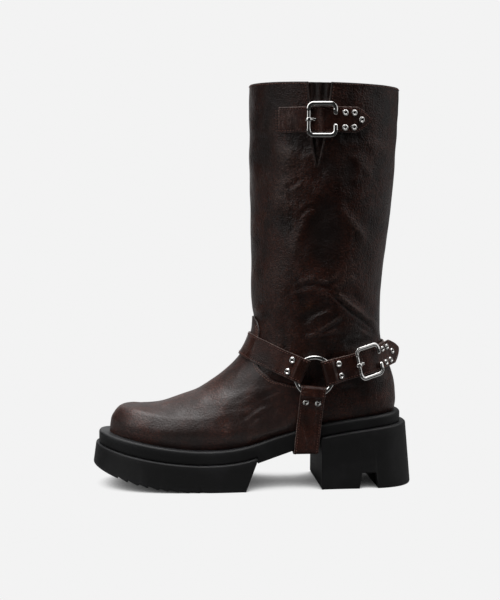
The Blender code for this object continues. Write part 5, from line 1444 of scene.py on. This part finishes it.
ring_middle = (RING_X, 0.0, RING_Z)
down = math.radians(SOLE_TILT)
instep_way = Course(body, ring_middle, tilted(INSTEP_TILT, -1.0, 1.0), HARNESS_HALF, WHOLE_TURN)
heel_way = Course(body, ring_middle, tilted(HEEL_TILT, 1.0, 1.0), HARNESS_HALF, WHOLE_TURN)
sole_way = Course(body + [sling_tree()], ring_middle, (-math.sin(down), 0.0, -math.cos(down)), HARNESS_HALF,
                  WHOLE_TURN)
courses = (instep_way, heel_way, sole_way)
instep_length, heel_length, sole_length = (np.interp(math.pi, way.turn, way.length) for way in courses)
outer_ways = [(way, 0.0, 1.0) for way in courses]
inner_ways = [(way, length, -1.0) for way, length in zip(courses, (instep_length, heel_length, sole_length))]
planes = [ring_plane(outer_ways), ring_plane(inner_ways)]
turn = np.linspace(0.0, 2 * math.pi, RING_STEPS, endpoint=False)
for side, ways, (centre, along, normal) in zip(("outer", "inner"), (outer_ways, inner_ways), planes):
    across = np.cross(normal, along)
    circle = np.cos(turn)[:, None] * along + np.sin(turn)[:, None] * across
    wire = wire_points(centre + RING_LIFT * normal + RING_RADIUS * circle, normal, RING_WIRE, True)
    faces = grid_faces(RING_STEPS, WIRE_SIDES, round_rows=True, round_columns=True)
    add_piece("harness_ring_" + side, wire, faces, polished_steel, ["ring_" + side])
    for way, origin, sign in ways:
        way.seat(origin, sign, centre, normal)

# Harness straps: strips of the smooth strap leather, folded round the rings and pulled taut.
# One goes over the instep, one under the waist of the sole, and two buckle behind the heel.
CORNER_ANGLE = 40.0
CORNER_BULGE = 1.2
CORNER_REACH = 5.0
FOLD_REACH = 8.8
FOLD_BACK = 29.0
SETTLE_START = 30.0
SETTLE_REACH = 14.0
WIRE_SIDE = 0.5
FOLD_STEPS = 30
FOLD_SEWN_STEPS = 4
RIVET_REACH = 23.0
RIVET_SPREAD = 5.3
RIVET_RADIUS = 2.7
RIVET_HIGH = 1.5
ANKLE_BUCKLE_X = 96.8
ANKLE_TIP_REACH = 46.6
INNER_STRAP_END_X = 92.0
TIP_STRAIGHT_REACH = 17.0
OVER_LAYER = HUG + STRAP_THICK + GAP
OVER_RING = RING_LIFT + RING_WIRE + FOLD_SLACK + STRAP_THICK / 2


def front_height(s, rest):
    """Height of a strap's front layer: over the ring, down to its rivets, then at rest."""
    start = RING_RADIUS + WIRE_SIDE
    down = smooth((s - start) / (RIVET_REACH - RIVET_RADIUS - start))
    settle = smooth((s - SETTLE_START) / SETTLE_REACH)
    return OVER_RING + (OVER_LAYER - OVER_RING) * down + (rest - OVER_LAYER) * settle


def fold_path():
    """Middle of the leather at one ring: back layer, then a half circle, ending over the ring."""
    radius = (OVER_RING - HUG) / 2
    turn = np.radians(np.linspace(-90.0, 90.0, FOLD_STEPS))
    reach = np.linspace(FOLD_BACK, FOLD_REACH + radius, FOLD_STEPS)
    back = np.stack([reach, np.full_like(reach, HUG)], axis=1)
    fold = np.stack([FOLD_REACH + radius * (1 - np.cos(turn)), HUG + radius * (1 + np.sin(turn))], axis=1)
    return np.concatenate([back[:-1], fold])


def far_fold(length):
    """The same fold at the ring where a strap of this length ends."""
    return fold_path()[::-1] * (-1.0, 1.0) + (length, 0.0)


def corners(way):
    """Distances along the middle of a way where it turns sharply, as at the edge of the sole."""
    normals = way.rows[1][1]
    turn = np.sum(normals[SOFTEN:] * normals[:-SOFTEN], axis=1)
    sharp = np.flatnonzero(turn < math.cos(math.radians(CORNER_ANGLE))) + SOFTEN // 2
    groups = np.split(sharp, np.flatnonzero(np.diff(sharp) > SOFTEN) + 1)
    return [way.length[int(np.mean(group))] for group in groups if len(group)]


def rivet_spots(way, sign, origin):
    """Two rivets through a folded strap end, side by side."""
    height = OVER_LAYER + STRAP_THICK / 2 + HEAD_LIFT
    frames = [way.frame(origin + sign * RIVET_REACH, share / way.half, height)
              for share in (RIVET_SPREAD, -RIVET_SPREAD)]
    return [(place, normal) for place, _, _, normal in frames]


def add_rivets(name, outer_way, inner_way, length):
    """The four rivets of a strap's two folded ends, the outer end first."""
    spots = rivet_spots(outer_way, 1.0, 0.0) + rivet_spots(inner_way, -1.0, length)
    nodes = ["rivet_%s_%s_%d" % (name, side, k) for side in ("outer", "inner") for k in (1, 2)]
    add_heads(name + "_rivets", spots, RIVET_RADIUS, RIVET_HIGH, tumbled_steel, nodes)


def add_ring_strap(name, way, length):
    """Strap from ring to ring, folded round both and standing off sharp corners a little."""
    fold = fold_path()
    s = np.linspace(fold[-1, 0], length - fold[-1, 0], 420)[1:-1]
    height = front_height(np.minimum(s, length - s), HUG)
    for corner in corners(way):
        height += CORNER_BULGE * np.exp(-(((s - corner) / CORNER_REACH) ** 2))
    path = np.concatenate([fold, np.stack([s, height], axis=1), far_fold(length)])
    runs = add_strap(name + "_strap", way, path, strap_leather, ["strap_" + name])
    start = len(fold) - FOLD_SEWN_STEPS
    runs = [(on[start:-start], up[start:-start]) for on, up in runs]
    add_stitches(name + "_strap_stitches", runs, dark_thread)
    add_rivets(name, way, way, length)


def straightened(way, reach):
    """The same way, but running straight on past a distance, as a stiff free end does."""
    free = Course.__new__(Course)
    free.half, free.heading, free.across = way.half, way.heading, way.across
    free.turn, free.length, free.seats = way.turn, way.length, way.seats
    free.rows = []
    past = np.clip(way.length - reach, 0.0, None)[:, None]
    beyond = past[:, 0] > 0.0
    for world, normals in way.rows:
        last = int(np.argmax(beyond))
        line = world[last] + (past - past[last]) * unit(world[last] - world[last - 2])
        free.rows.append((np.where(beyond[:, None], line, world),
                          np.where(beyond[:, None], normals[last], normals)))
    return free


add_ring_strap("instep", instep_way, instep_length)
add_ring_strap("sole", sole_way, sole_length)
fold = fold_path()
buckle_s = heel_way.s_at_x(ANKLE_BUCKLE_X, 30.0, heel_length / 2)
tip_s = buckle_s + ANKLE_TIP_REACH
outer_way = straightened(heel_way, buckle_s + TIP_STRAIGHT_REACH)
s = np.concatenate([np.linspace(fold[-1, 0], tip_s - TIP_LENGTH, 260, endpoint=False)[1:],
                    tip_steps(tip_s)])
path = np.concatenate([fold, np.stack([s, front_height(s, OVER_LAYER)], axis=1)])
runs = add_strap("heel_strap_outer", outer_way, path, strap_leather, ["strap_heel_outer"], tip_s)
start = len(fold) - FOLD_SEWN_STEPS
runs = [(on[start:], up[start:]) for on, up in runs]
begin = heel_way.s_at_x(INNER_STRAP_END_X, 30.0, heel_length / 2)
s = np.linspace(begin, heel_length - fold[-1, 0], 300)[:-1]
path = np.concatenate([np.stack([s, front_height(heel_length - s, HUG)], axis=1), far_fold(heel_length)])
inner_runs = add_strap("heel_strap_inner", heel_way, path, strap_leather, ["strap_heel_inner"])
runs += [(on[:-start], up[:-start]) for on, up in inner_runs]
add_stitches("heel_strap_stitches", runs, dark_thread)
add_rivets("heel", outer_way, heel_way, heel_length)
heel_top = OVER_LAYER + STRAP_THICK / 2
add_buckle("ankle", outer_way, buckle_s, heel_top, polished_steel)
add_studs("ankle", outer_way, buckle_s, heel_top, tumbled_steel)
hole_top = heel_top + CROWN * STRAP_THICK / 2
add_pinhole("ankle_pinhole", outer_way, buckle_s + PINHOLE_REACH, hole_top, strap_leather)

# Stage: a wide pale floor that runs into a plain bright background, soft strips of light at both sides,
# above and behind, a darker front, and a camera at the photograph's angle.
CAMERA_PLACE = Vector((-0.1025, -1.1441, 0.2542))
CAMERA_AIM = Vector((-0.0026, -0.0021, 0.1634))
CAMERA_LENS = 78.0
BACKGROUND_LEVEL = 0.896
NOOK_REACH = 0.25
FLOOR_NEAR = 0.21
FLOOR_FRONT = 0.015
FLOOR_HALF = 12.0
BOUNCE_Y = (-0.10, -0.26)
TOP_LIGHT = 5.5
TOP_RISE = (0.84, 0.98)
HIGH_RISE = (0.42, 0.80)
# Shade of the floor: share of open sky over the spot, and its level
FLOOR_SHADE = ((0.0, 0.0), (0.05, 0.06), (0.10, 0.12), (0.20, 0.30), (0.35, 0.80), (0.50, 1.0))
# Light round the boot: share of the way round from behind over the toe side, the front and the heel
# side back to behind, and its level
LIGHT_RING = (
    (0.0, 0.50), (0.03, 0.58), (0.055, 0.62), (0.085, 0.01), (0.292, 0.01), (0.318, 2.30), (0.356, 2.15),
    (0.38, 0.05), (0.44, 0.012), (0.56, 0.012), (0.64, 0.03), (0.68, 0.85), (0.72, 1.05), (0.76, 0.66),
    (0.82, 0.10), (0.95, 0.05), (1.0, 0.50))
# Further light higher up at the back and over the toe, in the same shares
HIGH_RING = (
    (0.0, 0.28), (0.06, 0.22), (0.14, 0.16), (0.22, 0.18), (0.30, 0.30), (0.38, 1.05), (0.48, 0.95),
    (0.56, 0.0), (0.64, 0.0), (0.70, 1.10), (0.80, 1.10), (0.88, 0.40), (0.94, 0.30), (1.0, 0.28))


def ramp(tree, place, steps):
    """Level that eases from step to step along a place between 0 and 1."""
    shade = node(tree, "ShaderNodeValToRGB", {"Fac": place})
    shade.color_ramp.interpolation = "EASE"
    stops = shade.color_ramp.elements
    stops.remove(stops[1])
    for k, (at, level) in enumerate(steps):
        stop = stops.new(at) if k else stops[0]
        stop.position = at
        stop.color = (level, level, level, 1.0)
    return node(tree, "ShaderNodeRGBToBW", {0: shade.outputs[0]}).outputs[0]


camera_data = bpy.data.cameras.new("photo camera")
camera_data.lens = CAMERA_LENS
camera_data.sensor_width = 36.0
camera_data.clip_end = 100.0
camera = bpy.data.objects.new("photo_camera", camera_data)
camera.location = CAMERA_PLACE
camera.rotation_euler = (CAMERA_AIM - CAMERA_PLACE).to_track_quat("-Z", "Y").to_euler()
bpy.context.collection.objects.link(camera)
bpy.context.scene.camera = camera
bpy.context.scene.view_settings.view_transform = "Standard"

floor_mesh = bpy.data.meshes.new("studio floor")
corner = FLOOR_HALF
floor_mesh.from_pydata([(-corner, -corner, 0.0), (corner, -corner, 0.0), (corner, corner, 0.0),
                        (-corner, corner, 0.0)], [], [(0, 1, 2, 3)])
floor = bpy.data.objects.new("studio_floor", floor_mesh)
bpy.context.collection.objects.link(floor)
floor_finish = bpy.data.materials.new("pale floor")
floor_finish.use_nodes = True
tree = floor_finish.node_tree
tree.nodes.clear()
seen = node(tree, "ShaderNodeLightPath").outputs["Is Camera Ray"]
place = node(tree, "ShaderNodeSeparateXYZ", {0: node(tree, "ShaderNodeTexCoord").outputs["Object"]}).outputs
bounce = spread(tree, place[1], *BOUNCE_Y, FLOOR_NEAR, FLOOR_FRONT)
grey = node(tree, "ShaderNodeCombineColor", {0: bounce, 1: bounce, 2: bounce}).outputs[0]
flat = node(tree, "ShaderNodeBsdfDiffuse", {"Color": grey})
# The camera sees the floor as a glow, with painted shade where little open sky lies over it; other rays see a
# grey floor, darker in front
openness = node(tree, "ShaderNodeAmbientOcclusion", {"Distance": NOOK_REACH}, samples=16).outputs["AO"]
level = times(tree, ramp(tree, openness, FLOOR_SHADE), BACKGROUND_LEVEL)
glow = node(tree, "ShaderNodeEmission", {"Strength": level})
pale = node(tree, "ShaderNodeMixShader", {0: seen, 1: flat.outputs[0], 2: glow.outputs[0]})
node(tree, "ShaderNodeOutputMaterial", {"Surface": pale.outputs[0]})
floor_mesh.materials.append(floor_finish)

world = bpy.data.worlds.new("studio light")
bpy.context.scene.world = world
world.use_nodes = True
tree = world.node_tree
tree.nodes.clear()
way = node(tree, "ShaderNodeSeparateXYZ", {0: node(tree, "ShaderNodeTexCoord").outputs["Generated"]}).outputs
turn = reckon(tree, "ARCTAN2", way[0], times(tree, way[1], -1.0))
share = plus(tree, 0.5, reckon(tree, "DIVIDE", turn, 2 * math.pi))
top = spread(tree, way[2], *TOP_RISE, 0.0, TOP_LIGHT)
high = times(tree, ramp(tree, share, HIGH_RING), spread(tree, way[2], *HIGH_RISE))
light = plus(tree, ramp(tree, share, LIGHT_RING), plus(tree, top, high))
seen = node(tree, "ShaderNodeLightPath").outputs["Is Camera Ray"]
white = (1.0, 1.0, 1.0, 1.0)
lamp = node(tree, "ShaderNodeBackground", {"Color": white, "Strength": light})
backdrop = node(tree, "ShaderNodeBackground", {"Color": white, "Strength": BACKGROUND_LEVEL})
both = node(tree, "ShaderNodeMixShader", {0: seen, 1: lamp.outputs[0], 2: backdrop.outputs[0]})
node(tree, "ShaderNodeOutputWorld", {"Surface": both.outputs[0]})
